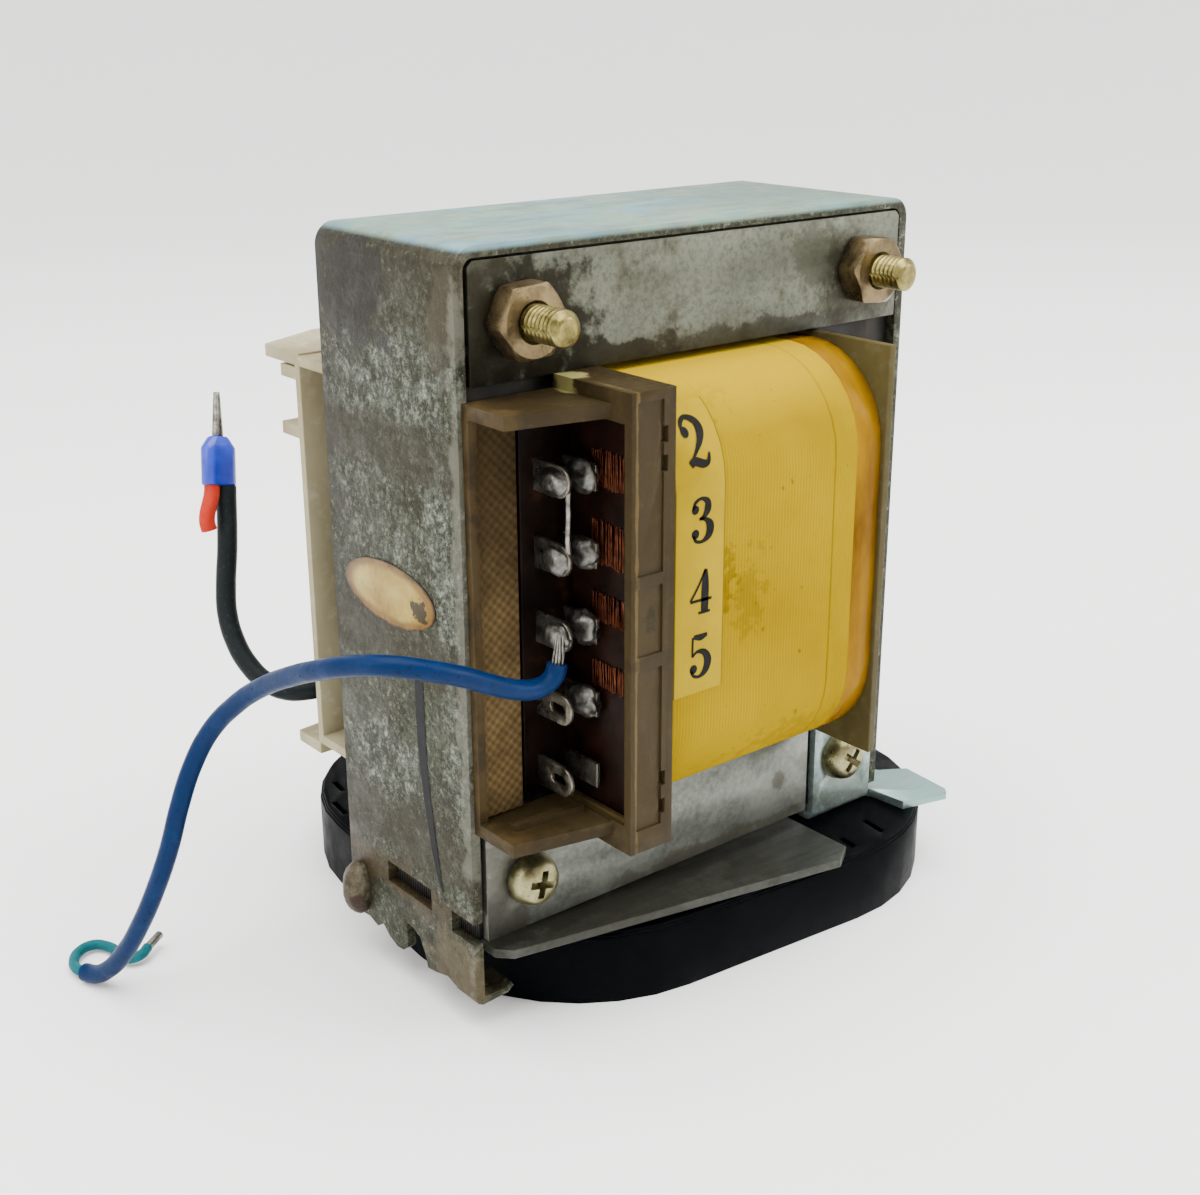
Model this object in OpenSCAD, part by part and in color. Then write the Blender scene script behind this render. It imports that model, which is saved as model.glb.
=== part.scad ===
// Chassis transformer: an EI core with its coil lying across, clamped in a bent steel cover.
// X runs along the coil, Y from front to back, Z up. The origin is on the surface it stands on,
// below the middle of the core.

/* [Core] */
// Width of an outer leg, which is also the window height
leg = 16; // [13:0.5:19]
// Thickness of the lamination stack, front to back
stack = 30.6; // [24:0.2:40]
// Air between the core and the pieces that wrap it
core_gap = 0.2; // [0.1:0.05:0.4]

/* [Coil] */
// Wall of the moulded bobbin
bobbin_t = 1.3; // [1:0.1:2]
// Clearance of the bobbin on the middle leg and in the window
bobbin_gap = 0.3; // [0.1:0.05:0.4]
// Build-up of the primary winding
primary_t = 7.2; // [4:0.1:7.4]
// Build-up of the secondary winding
secondary_t = 5.2; // [3:0.1:5.3]
// How much thicker the coil builds up outside the window than inside it
bulge = 1.034; // [1:0.002:1.04]
// Thickness of the insulating layer between the windings
barrier_t = 0.4; // [0.2:0.1:0.8]
// Thickness of the outer tape
tape_t = 0.5; // [0.3:0.1:0.8]
// Corner radius of the finished coil
coil_r = 14; // [8:0.5:15]
// Width of the amber margin tape at the right end
margin_w = 5; // [3:0.5:7]
// Width of the number strip
label_w = 9; // [6:0.5:12]
// Height of the number strip
label_h = 40; // [28:1:44]

/* [Cover] */
// Sheet thickness of the cover
cover_t = 1.5; // [1:0.1:2]
// Outer bend radius at the top corners
bend_r = 3.1; // [2.8:0.1:6]
// Length of the oval sticker
sticker_l = 23; // [14:0.5:28]
// Height of the oval sticker
sticker_h = 9.2; // [5:0.2:12]
// How far the left wall's hooks reach below the core
hook_drop = 9.6; // [8:0.2:10.5]
// Width of the slot in the left wall
slot_w = 11.6; // [8:0.2:13]
// Height of the slots in the left wall
slot_h = 3.4; // [2:0.2:4]

/* [Clamp plates] */
// Thickness of the front and back clamp plates
plate_t = 1.2; // [0.8:0.1:1.6]
// Length of the bottom plates
low_plate_l = 64.7; // [58:0.1:65.2]

/* [Feet] */
// Sheet thickness of the foot plate and the side bracket
foot_t = 1.4; // [1:0.1:2]
// How far the foot plate stands out at its narrow end
foot_out_narrow = 4.2; // [3:0.2:8]
// How far the foot plate stands out at its wide end
foot_out_wide = 13.8; // [8:0.2:18]
// Droop of the foot plate from its left end to its right end
foot_droop = 1.4; // [0.4:0.1:2]
// How far the side bracket's ear reaches past the cover
ear_out = 10.3; // [6:0.1:14]
// How far the ear reaches in front of the cover
ear_front = 8.8; // [4:0.1:10]
// Groove between the foot plate and the side bracket
foot_gap = 3.8; // [3:0.1:5]

/* [Fasteners] */
// Diameter of the two top bolts
bolt_d = 4.8; // [4:0.1:5]
// Width across flats of the top nuts and bolt heads
nut_af = 9.4; // [7:0.1:10]
// Thickness of the top nuts
nut_h = 4; // [3:0.1:5]
// How far the top bolts stand out past the plate
bolt_out = 10.6; // [8:0.2:14]
// Diameter of the two bottom screws
screw_d = 4; // [3:0.1:4.5]
// Diameter of the pan heads
pan_d = 7.9; // [6:0.1:8]
// Height of the pan heads
pan_h = 3.6; // [2.4:0.1:4]
// Clearance of the bolts and screws in their holes
hole_gap = 0.2; // [0.1:0.05:0.4]

/* [Terminals] */
// Wall of the moulded terminal shrouds
shroud_t = 1.9; // [1.2:0.1:2.4]
// How far the shroud's walls stand out past the cover at the left
shroud_out = 9; // [7:0.2:11]
// Width of the shroud's front bar
bar_w = 7.4; // [5:0.2:9]
// Thickness of the shroud's front bar
bar_t = 1.4; // [1:0.1:2]
// How far the front bar stands out past the cover
bar_out = 16; // [15:0.2:18]
// Spacing of the terminals
pin_pitch = 10.7; // [9:0.1:11]
// Height of a solder lug
lug_h = 4.4; // [3:0.1:5]
// Thickness of a solder lug
lug_t = 0.6; // [0.4:0.1:1]
// How far the lugs stand out of their board
lug_out = 7.6; // [5:0.2:9]
// Distance of the outer lug row from the coil's left flange
lug_row = 6.5; // [5:0.1:9]
// Distance of the inner tag row from the coil's left flange
tag_row = 1.7; // [1.5:0.1:2.5]
// Height of a bunch of winding wire
tails_h = 5.6; // [3:0.1:6]
// Width of a bunch of winding wire
tails_l = 6.8; // [4:0.2:7]
// Thickness of a flattened bunch
tails_t = 0.5; // [0.2:0.05:0.6]
// Diameter of a lump of solder
solder_d = 5.8; // [3:0.1:6]
// Width of the cloth strip
cloth_w = 6.6; // [4:0.2:7]
// Thickness of the cloth strip
cloth_t = 1.9; // [0.5:0.1:2]
// How far the back shroud's top shelf stands out at the left
shelf_out = 17.7; // [14:0.1:20]
// Thickness of the terminal board
board_t = 1.7; // [0.8:0.1:2]
// Thickness of the bar's two arms
arm_t = 1.2; // [0.8:0.1:1.6]

/* [Leads] */
// Outer diameter of the blue lead
lead_d = 2.8; // [2:0.1:3]
// Outer diameter of the black lead
black_d = 3.2; // [2.4:0.1:3.4]
// Outer diameter of the cut red lead
red_d = 2.5; // [1.8:0.1:2.6]
// Diameter of the thin lead at the blue lead's end
tail_d = 1.6; // [1:0.1:1.6]
// Width of the double ferrule's sleeve
ferrule_w = 6.1; // [5.8:0.1:7]
// Length of the double ferrule's sleeve
ferrule_l = 7.8; // [6:0.2:9]
// Length of the double ferrule's pin
ferrule_pin_l = 7; // [5:0.2:8]

/* [Base block] */
// Width of the moulded base block
base_w = 94; // [84:1:110]
// Depth of the base block
base_d = 88; // [78:1:100]
// Height of the base block
base_h = 11.7; // [10.4:0.1:16]
// Corner radius of the base block
base_r = 30; // [12:1:36]
// Rounding of the base block's upper edge
base_edge = 0.8; // [0.4:0.1:2]
// How far the block is turned from square with the core, in degrees
base_turn = 5.2; // [0:0.1:8]

/* [Hidden] */
$fn = 48;

eps = 0.01;
core_w = 5 * leg;
core_h = 6 * leg;
e_len = 4 * leg;
win_l = 3 * leg;
cover_d = stack + 2 * plate_t;
front = -cover_d / 2;
back = cover_d / 2;
cover_in = core_w / 2 + core_gap;
cover_x = cover_in + cover_t;
// The cover's inner bends clear corners cut this much
bend_in = bend_r - cover_t;
corner_cut = bend_in - core_gap - sqrt(bend_in * bend_in - pow(bend_in - core_gap, 2)) + 0.15;
foot_left = -core_w / 2 + core_gap;
foot_right = foot_left + low_plate_l - 2.1;
foot_tilt = asin(foot_droop / (foot_right - foot_left));
// The foot plate's low right edge stands on the base block, its high left edge carries the core
core_z = base_h + foot_droop + foot_t * cos(foot_tilt);
top_in = core_z + core_h + core_gap;
cover_top = top_in + cover_t;
hole_x = core_w / 2 - leg / 2;
hole_low = core_z + leg / 2;
hole_high = core_z + core_h - leg / 2;
mid_z = core_z + core_h / 2;

// Coil, built outwards from the middle leg
tube_in_y = stack + 2 * bobbin_gap;
tube_in_z = 2 * leg + 2 * bobbin_gap;
flange_x = win_l / 2 - bobbin_gap / 2;
coil_x = flange_x - bobbin_t;
flange_z = core_h / 2 - leg - bobbin_gap;
primary_off = bobbin_t;
barrier_off = primary_off + primary_t;
secondary_off = barrier_off + barrier_t;
tape_off = secondary_off + secondary_t;
coil_off = tape_off + tape_t;
coil_half_y = tube_in_y / 2 + bulge * coil_off;
coil_half_z = tube_in_z / 2 + coil_off;
label_x = -13;

// Terminals, in the left end of the window
bar_left = -flange_x - 2.6;
bar_x = bar_left + bar_w;
shroud_x0 = -cover_x + 0.7;
shroud_top = mid_z + flange_z - 1.4;
shroud_low = mid_z - flange_z + 1.4;
board_y = -stack / 2;
board_x0 = -core_w / 2 + cloth_w + 0.8;
board_x1 = -flange_x;
board_z = 2 * flange_z - 2 * shroud_t - 6;
arm_z = coil_half_z + 0.05;
bar_in = front - bar_out + bar_t;
wall_y = back + shroud_out - 1.2;
lug_y = board_y - board_t;
lug_x = -flange_x - lug_row;
tag_x = -flange_x - tag_row;
pins = [for (i = [-2:2]) mid_z - 2 + i * pin_pitch];

// Routes of the free leads, from the joint outwards
blue_pts = [[-32.4, -24.4, 57.8], [-32.6, -24.4, 56.9], [-33.2, -24.4, 56], [-34.3, -24.4, 55.4],
    [-36.2, -24.4, 55.2], [-39.2, -24.4, 55.9], [-43.2, -24.4, 57.7], [-47.3, -24.3, 59.8],
    [-51.8, -23.6, 61.6], [-56, -21.2, 62.6],
    [-58.6, -15.8, 61.6], [-59.8, -9.6, 59.4], [-60.2, -3, 56.6], [-60.8, 4, 53], [-62.2, 10.2, 48.6],
    [-64.4, 14.2, 43.8], [-66.8, 16, 38.4], [-69, 16.6, 32.6], [-71, 17, 26.4], [-73, 18.6, 19.8],
    [-74.8, 21.4, 13.2], [-76.3, 25, 7.4], [-77.6, 28.6, 3.4], [-78.6, 31, 1.85], [-79.4, 33.2, 1.45]];
strand_pts = [[-32.4, -24.4, 57.8], [-32.2, -24.4, 58.7], [-31.7, -24, 59.9], [-31.15, -23.4, 61.1]];
tail_pts = [[-79.4, 33.2, 1.45], [-79.9, 35.2, 1.3], [-79.4, 37.6, 1.2], [-77.6, 39.8, 1.2],
    [-75.2, 40.3, 1.2], [-73.5, 38.6, 1.1], [-73, 36.2, 1.1], [-73, 34, 1.2], [-72.2, 32.4, 1.4],
    [-70.8, 32.2, 1.6], [-69.2, 33.2, 1.8]];
black_pts = [[-30.4, 29, 39], [-33.4, 29, 39], [-37, 29, 38.7], [-40.4, 29.8, 38.5], [-43.2, 31.6, 38.7],
    [-45, 34.2, 39.8],
    [-46.2, 37.2, 42], [-46.7, 40.2, 45.2], [-46.5, 42.6, 49.2], [-45.5, 44.2, 53.7], [-44.1, 45.6, 58.8],
    [-43, 47, 63.8], [-42.1, 48.3, 68]];
// The red lead's route below the ferrule, in the ferrule's own frame
red_pts = [for (p = [[0, -0.1], [0.1, -1.4], [0.6, -3], [1.1, -4.5], [1.2, -5.9], [0.8, -7.1]])
    [(ferrule_w - black_d) / 2 + p[0], 0, p[1]]];

// ---- shared shapes ----

// A sheet standing across Y, its outline in X and Z
module across(y, t) translate([0, y + t, 0]) rotate([90, 0, 0]) linear_extrude(t) children();

// A sheet standing across X, its outline in Y and Z
module along(x, t) translate([x, 0, 0]) rotate([90, 0, 90]) linear_extrude(t) children();

// A round bar along Y from y0 to y1
module rod(x, y0, y1, z, d) translate([x, y1, z]) rotate([90, 0, 0]) cylinder(d = d, h = y1 - y0);

// A rectangle with round corners, centred
module round_rect(w, h, r) {
    q = min(r, min(w, h) / 2 - 0.05);
    hull() for (x = [q - w / 2, w / 2 - q], y = [q - h / 2, h / 2 - q]) translate([x, y]) circle(q, $fn = 32);
}

// A closed band round the middle leg, from one offset to another
module coil_band(x0, x1, off0, off1) translate([0, 0, mid_z]) along(x0, x1 - x0) difference() {
    coil_section(off1);
    coil_section(off0);
}

// Section through the coil at one build-up: square on the bobbin, rounder further out
module coil_section(off) {
    r = coil_r * (off - bobbin_t) / (coil_off - bobbin_t);
    if (r > 0.5) round_rect(tube_in_y + 2 * bulge * off, tube_in_z + 2 * off, r);
    else square([tube_in_y + 2 * bulge * off, tube_in_z + 2 * off], center = true);
}

// A lead swept along its route: rings of corners, joined and capped
function unit(v) = v / norm(v);
function side_of(v) = unit(cross(v, abs(v[2]) > 0.9 ? [1, 0, 0] : [0, 0, 1]));

module lead(pts, d, sides = 8) {
    n = len(pts);
    way = [for (i = [0:n - 1]) unit(pts[min(i + 1, n - 1)] - pts[max(i - 1, 0)])];
    rings = [for (i = [0:n - 1]) let (u = side_of(way[i]), w = cross(way[i], u))
        for (k = [0:sides - 1]) pts[i] + d / 2 * (u * cos(360 * k / sides) + w * sin(360 * k / sides))];
    walls = [for (i = [0:n - 2]) for (k = [0:sides - 1]) let (j = (k + 1) % sides)
        [i * sides + k, (i + 1) * sides + k, (i + 1) * sides + j, i * sides + j]];
    caps = [[for (k = [0:sides - 1]) k], [for (k = [sides - 1:-1:0]) (n - 1) * sides + k]];
    polyhedron(rings, concat(walls, caps), convexity = 6);
}

// ---- base and feet ----

// Solid moulded block with a chamfered upper edge and short grooves in its top
module base_block() color("#14171b") difference() {
    translate([11.6, 16, 0]) rotate(-base_turn) union() {
        linear_extrude(base_h - base_edge) round_rect(base_w, base_d, base_r);
        for (i = [0:1]) translate([0, 0, base_h - base_edge + i * base_edge / 2 - eps])
            linear_extrude(base_edge / 2 + eps) round_rect(base_w - (i + 1) * base_edge * 0.7,
                base_d - (i + 1) * base_edge * 0.7, base_r - (i + 1) * base_edge * 0.35);
    }
    for (g = [[32.6, -26.2, 4.6], [25.2, -26.8, 3.4], [-27.7, 43.4, 3.8], [-31.9, 35.6, 5]])
        translate([g[0], g[1], base_h - 1.2]) rotate(-8) cube([0.9, g[2], 2]);
}

// One flat sheet under the core, wider to the right, leaning on the base block
module foot_plate() color("#a9aca4") translate([foot_left, 0, core_z]) rotate([0, foot_tilt, 0])
    translate([0, 0, -foot_t]) linear_extrude(foot_t) difference() {
        l = foot_right - foot_left;
        polygon([[0, back], [0, front - foot_out_narrow + 2], [2, front - foot_out_narrow],
            [l - 4, front - foot_out_wide], [l, front - foot_out_wide + 2.6], [l, back]]);
        translate([l + hole_x - foot_right, 0]) circle(d = screw_d + 2 * hole_gap);
    }

// A folded angle: an upright held by the right screw, a floor under the core, and an ear
module side_bracket() color("#b4bab6") {
    x0 = foot_right + foot_gap;
    z0 = base_h;
    in_y = front + plate_t;
    difference() {
        union() {
            translate([x0, front, z0 + foot_t])
                cube([cover_in - x0, plate_t, core_z + leg - 1 - z0 - foot_t]);
            intersection() {
                translate([x0, front, z0]) cube([cover_in - x0, foot_t, foot_t]);
                translate([x0, front + foot_t, z0 + foot_t]) rotate([0, 90, 0])
                    cylinder(r = foot_t, h = cover_in - x0);
            }
            translate([x0, front + foot_t, z0]) cube([cover_in - x0, cover_d - foot_t, foot_t]);
            translate([0, 0, z0]) linear_extrude(foot_t) polygon([[cover_in - eps, front + foot_t],
                [cover_in - eps, back], [cover_x, back - 6], [cover_x, front + 12],
                [cover_x + ear_out - 4.2, front + 4.2], [cover_x + ear_out, front + 1.6],
                [cover_x + ear_out - 1, front - ear_front + 1],
                [cover_x + ear_out - 1.8, front - ear_front],
                [cover_x, front - ear_front + 2.2], [cover_x - 0.6, front]]);
        }
        rod(hole_x, front - 1, in_y + 1, hole_low, screw_d + 2 * hole_gap);
    }
}

// ---- cover ----

// Outline of the left wall's foot, from the back corner to the front lip
module left_foot_outline() polygon([[back, core_z + 6], [back, core_z - 1], [back - 0.8, core_z - 6],
    [back - 2.4, core_z - 8], [back - 4.6, core_z - 7.8], [9.7, core_z - hook_drop + 1.1],
    [8, core_z - 7.4], [6.3, core_z - 8.8], [4.2, core_z - hook_drop], [2.6, core_z - hook_drop + 0.2],
    [1.3, core_z - hook_drop + 1.3], [1.3, core_z - 4.4], [0.6, core_z - 4], [-0.6, core_z - 4.3],
    [-2.2, core_z - 4.9], [-3.5, core_z - 7.2], [-4.1, core_z - 9.3], [-6.6, core_z - 8.9],
    [-9.3, core_z - 8.2], [-11.8, core_z - 8.9], [-14.6, core_z - 8.7], [front, core_z - 8.6],
    [front, core_z + 6]]);

module cover_strap() color("#8f918a") {
    difference() {
        union() {
            // Strap bent over the top, both walls running down
            across(front, cover_d) difference() {
                translate([0, (cover_top + core_z) / 2]) difference() {
                    union() {
                        round_rect(2 * cover_x, cover_top - core_z, bend_r);
                        translate([-cover_x, -(cover_top - core_z) / 2]) square([2 * cover_x, 20]);
                    }
                }
                union() {
                    translate([0, (top_in + core_z) / 2]) round_rect(2 * cover_in, top_in - core_z, bend_in);
                    translate([-cover_in, core_z - 1]) square([2 * cover_in, 20]);
                }
            }
            along(-cover_x, cover_t) left_foot_outline();
            // Lip folded in under the front of the left wall, its end turned up a little
            across(front, 5.4) translate([-cover_x, core_z - 9.9]) polygon([[0, 1.6], [0.4, 0.4], [1.2, 0],
                [5.6, 0.3], [6.6, 1.1], [6.2, 1.8], [5.2, 1.2], [cover_t, 1.2], [cover_t, 1.6]]);
        }
        along(-cover_x - 1, cover_t + 2) {
            translate([0, core_z + 2.8]) square([slot_w, slot_h], center = true);
            translate([front - 1, core_z + 0.1]) square([6.6, slot_h]);
        }
        translate([-cover_x - 1, back - 2.9, core_z - 3]) rotate([0, 90, 0])
            cylinder(d = 2.6, h = cover_t + 2);
    }
}

// Hammered-over lug at the back of the left foot: a rounded lump on a shank through the wall
module leg_rivet() color("#8d8572") translate([-cover_x, back - 2.9, core_z - 3]) {
    // Layers that grow smaller away from the wall
    for (k = [[0, 5.1, 9.2], [0.6, 5.2, 9.4], [1.4, 4.9, 8.9], [2, 4.4, 8.1], [2.5, 3.6, 6.8]])
        along(-k[0] - 0.8, 0.8) round_rect(k[1], k[2], k[1] / 2 - 0.1);
    rotate([0, 90, 0]) translate([0, 0, -0.1]) cylinder(d = 2.5, h = cover_t + 0.1);
}

module side_sticker() color("#cdb98c") along(-cover_x - 0.15, 0.15)
    translate([sticker_h / 6, mid_z + 0.2]) rotate(-1) scale([sticker_l / sticker_h, 1]) circle(d = sticker_h);

// ---- core ----

module core_holes(xs) for (x = xs) {
    rod(x, -stack, stack, hole_high, bolt_d + 2 * hole_gap);
    rod(x, -stack, stack, hole_low, bolt_d + 2 * hole_gap);
}

// A stacked sheet outline, its upper corners cut where asked, in X and Z
module cut_sheet(x0, x1, z0, z1, left, right) polygon([[x0, z0], [x1, z0], [x1, z1 - right],
    [x1 - right, z1], [x0 + left, z1], [x0, z1 - left]]);

module e_laminations() color("#3b3a36") difference() {
    across(-stack / 2, stack)
        cut_sheet(-core_w / 2, e_len - core_w / 2, core_z, core_z + core_h, corner_cut, 0);
    for (z = [core_z + leg, core_z + core_h - 2 * leg])
        translate([-win_l / 2, -stack, z]) cube([win_l + 1, 2 * stack, leg]);
    core_holes([-hole_x]);
}

module i_laminations() color("#3b3a36") difference() {
    across(-stack / 2, stack) cut_sheet(win_l / 2, win_l / 2 + leg, core_z, core_z + core_h, 0, corner_cut);
    core_holes([hole_x]);
}

// ---- coil ----

module bobbin() color("#8a7a66") {
    coil_tube();
    translate([0, 0, mid_z]) {
        along(flange_x - bobbin_t, bobbin_t) difference() {
            square([2 * coil_half_y + 1.2, 2 * flange_z], center = true);
            square([tube_in_y, tube_in_z], center = true);
        }
        // The left flange is cut down to seat the terminal shroud
        along(-flange_x, bobbin_t) difference() {
            square([-2 * bar_in, 2 * arm_z], center = true);
            square([tube_in_y, tube_in_z], center = true);
        }
    }
}

module coil_tube() translate([0, 0, mid_z]) along(-flange_x, 2 * flange_x) difference() {
    coil_section(primary_off);
    coil_section(0);
}

module primary_winding() color("#7a3b20") coil_band(-coil_x + 0.1, coil_x - 0.1, primary_off, barrier_off);

module winding_barrier() color("#c9b06a") coil_band(-coil_x + 0.1, coil_x - 0.1, barrier_off, secondary_off);

module secondary_winding() color("#8f4a26") coil_band(-coil_x + 0.1, coil_x - 0.1, secondary_off, tape_off);

module coil_tape() color("#e3c53c") coil_band(-coil_x + 0.1, coil_x - 0.1 - margin_w, tape_off, coil_off);

module margin_tape() color("#a87a12") coil_band(coil_x - 0.1 - margin_w, coil_x - 0.1, tape_off, coil_off);

// The strip is stuck on the tape and follows the coil's upper bend
module number_strip() color("#ecd24e") translate([0, 0, mid_z]) intersection() {
    along(label_x - label_w / 2, label_w) difference() {
        coil_section(coil_off + 0.15);
        coil_section(coil_off);
    }
    translate([label_x - label_w / 2 - 1, -coil_half_y - 1, 8 - label_h / 2])
        cube([label_w + 2, 20, label_h]);
}

// ---- clamp plates and fasteners ----

module plate(y, x0, x1, z0, z1, holes, d, cut = 0) difference() {
    across(y, plate_t) cut_sheet(x0, x1, z0, z1, cut, cut);
    for (p = holes) rod(p[0], y - 1, y + plate_t + 1, p[1], d + 2 * hole_gap);
}

module top_plate(y) plate(y, -core_w / 2 + 0.5, core_w / 2, core_z + core_h - leg, core_z + core_h - 0.15,
    [[-hole_x, hole_high], [hole_x, hole_high]], bolt_d, corner_cut);

module top_front_plate() color("#85867d") top_plate(front);

module top_back_plate() color("#85867d") top_plate(back - plate_t);

module bottom_front_plate() color("#aaaca4")
    plate(front, foot_left + 0.5, foot_left + low_plate_l, core_z, core_z + leg,
        [[-hole_x, hole_low]], screw_d);

module bottom_back_plate() color("#aaaca4")
    plate(back - plate_t, foot_left + 0.5, core_w / 2, core_z, core_z + leg,
        [[-hole_x, hole_low], [hole_x, hole_low]], screw_d);

module nut(x, y, z, af, h, bore, turn = 0) translate([x, y, z]) rotate([90, turn, 0]) difference() {
    intersection() {
        rotate(30) cylinder(d = af / cos(30), h = h, $fn = 6);
        union() {
            cylinder(d = af / cos(30), h = h - 0.5);
            translate([0, 0, h - 0.5]) cylinder(d = af * 1.06, h = 0.5);
        }
    }
    translate([0, 0, -1]) cylinder(d = bore, h = h + 2);
}

module top_bolts() color("#b3a14e") for (x = [-hole_x, hole_x]) {
    rod(x, front - bolt_out + 0.6, back + eps, hole_high, bolt_d);
    rod(x, front - bolt_out, front - bolt_out + 0.6, hole_high, bolt_d - 0.9);
    translate([x, back + 3.4, hole_high]) rotate([90, 0, 0]) cylinder(d = nut_af / cos(30), h = 3.4, $fn = 6);
}

module top_nuts() color("#8f7a4c") for (x = [-hole_x, hole_x])
    nut(x, front, hole_high, nut_af, nut_h, bolt_d, x > 0 ? 8 : 0);

module bottom_screws() color("#b9ac62") for (x = [-hole_x, hole_x]) {
    rod(x, front, back + 5.4, hole_low, screw_d);
    difference() {
        translate([x, front, hole_low]) rotate([90, 0, 0]) pan_head();
        for (a = [20, 110]) translate([x, front - pan_h, hole_low]) rotate([0, a, 0])
            cube([1.2, 3.6, pan_d * 0.6], center = true);
    }
}

// Pan head: a turned profile with a rounded crown
module pan_head() rotate_extrude() intersection() {
    square([pan_d / 2, pan_h]);
    translate([pan_d / 2 - 1.7, pan_h - 1.7]) union() {
        circle(1.7);
        translate([-pan_d, -pan_h]) square([pan_d, pan_h + 1.7]);
        translate([-pan_d, -pan_h]) square([pan_d + 1.7, pan_h]);
    }
}

module bottom_nuts() color("#8f7a4c") for (x = [-hole_x, hole_x])
    nut(x, back + 3.2, hole_low, 7, 3.2, screw_d);

// ---- terminal shrouds ----

// Front shroud: top and bottom walls, a stiff bar across the open front, all one moulding
module front_shroud() color("#8f7f6c") {
    for (z = [shroud_top - shroud_t, shroud_low]) translate([0, 0, z]) linear_extrude(shroud_t)
        polygon([[shroud_x0, front], [shroud_x0, front - shroud_out], [bar_left, front - shroud_out - 3],
            [bar_left + 2, front - shroud_out - 3], [bar_left + 2, front]]);
    // Narrow rim down the open side, from the top wall to the bottom wall
    translate([shroud_x0, front - 1.3, shroud_low + 0.5])
        cube([0.3 - core_w / 2 - shroud_x0, 1.3, shroud_top - shroud_low - 1]);
    // Ridge along the bottom wall
    translate([shroud_x0 + 2.4, front - shroud_out + 3, shroud_low + shroud_t - eps]) rotate([0, 0, -6])
        cube([bar_left - shroud_x0 - 3.4, 1.2, 1]);
    // Cheeks that join the walls to the bar's arms
    for (s = [-1, 1]) translate([bar_left, bar_in - eps, mid_z + s * (arm_z + 0.3 - 1.6) - 1.6])
        cube([2, front - bar_in, 3.2]);
    // Bar with its two arms lying on the bobbin's left flange
    difference() {
        translate([bar_left, front - bar_out, mid_z - arm_z - arm_t])
            cube([bar_w, bar_out - 0.2, 2 * (arm_z + arm_t)]);
        translate([bar_left - 1, bar_in, mid_z - arm_z]) cube([bar_w + 2, bar_out, 2 * arm_z]);
        // Shallow panels sunk in the face of the bar
        for (p = [[0.9, 23], [25.5, 9.6], [37.1, 23.4]]) translate([bar_left + 1, front - bar_out - eps,
            mid_z + flange_z - p[0] - p[1]]) cube([bar_w - 3, 0.35, p[1]]);
        // Notches in the right edge of the panels
        for (n = [87.6, 83.8, 39.4, 35.2]) translate([bar_x - 2.2, front - bar_out - eps, n])
            cube([0.9, 0.9, 2.2]);
    }
}

// Back shroud: an upright wall with a top, a middle and a bottom shelf
module back_shroud() color("#8f7f6c") {
    out = wall_y + 1.4;
    x1 = -flange_x;
    translate([shroud_x0, wall_y, shroud_low - 1]) cube([x1 - shroud_x0, 1.4, shroud_top - shroud_low + 1]);
    for (s = [[shroud_top - shroud_t, shelf_out, 5.3], [shroud_low - 2.9, shelf_out - 2.3, 1.5],
            [shroud_top - 1.2 * pin_pitch, shelf_out - 3.7, 0.5], [shroud_top - 4.1, 13.4, 0]])
        translate([0, 0, s[0]]) linear_extrude(shroud_t) polygon([[shroud_x0, out - 0.4],
            [shroud_x0, back + s[1]], [shroud_x0 + 0.7 * leg, back + s[1] + s[2]], [x1, back + s[1] + s[2]],
            [x1, out - 0.4]]);
    for (z = [shroud_top - shroud_t, shroud_low - 1]) translate([shroud_x0, back, z])
        cube([x1 - shroud_x0, wall_y - back + eps, shroud_t - 0.4]);
}

module front_board() color("#4a1d14") translate([board_x0, lug_y, mid_z - board_z / 2])
    cube([board_x1 - board_x0, board_t, board_z]);

// A solder lug: a strip with a rounded end and a slot, its outline in Y and Z from the board
module lug_outline() difference() {
    hull() {
        translate([-0.1, -lug_h / 2]) square([0.1, lug_h]);
        translate([-lug_out + lug_h / 2, 0]) circle(d = lug_h, $fn = 20);
    }
    hull() for (y = [0, 1.6]) translate([-lug_out + lug_h / 2 + y, 0]) circle(d = 1.5, $fn = 16);
}

module front_lugs() color("#b9bbb6") for (z = pins)
    translate([0, lug_y, z]) along(lug_x, lug_t) lug_outline();

module front_winding_tags() color("#a9aba6") for (z = pins)
    translate([0, lug_y, z]) along(tag_x, lug_t) translate([-lug_out + 0.4, -lug_h / 2 + 0.4])
        square([lug_out - 0.4, lug_h - 0.8]);

module back_lugs() color("#b9bbb6") for (i = [0:3])
    translate([0, wall_y + 1.5, pins[i]]) mirror([0, 1, 0]) along(lug_x, lug_t) lug_outline();

// Rounded lumps of solder that wrap the winding tags and three of the outer lugs
module solder_joints() color("#9b9c9a") {
    for (i = [1:4]) difference() {
        translate([tag_x, lug_y - 0.6 * lug_out, pins[i]]) scale([0.4, 1, 0.88])
            sphere(d = solder_d, $fn = 20);
        translate([0, lug_y, pins[i]]) along(tag_x, lug_t) translate([-lug_out + 0.4, -lug_h / 2 + 0.4])
            square([lug_out - 0.4, lug_h - 0.8]);
        translate([-60, lug_y, 0]) cube([60, 10, 200]);
        translate([-flange_x - tails_t, -60, 0]) cube([10, 60, 200]);
    }
}

// Bare wire that bridges the two upper lugs
module jumper_wire() color("#c4c6c4")
    translate([lug_x + lug_t + 0.45, lug_y - lug_out + 2.2, pins[3] - 1.2])
        cylinder(d = 0.9, h = pin_pitch + 2.4, $fn = 16);

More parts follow.
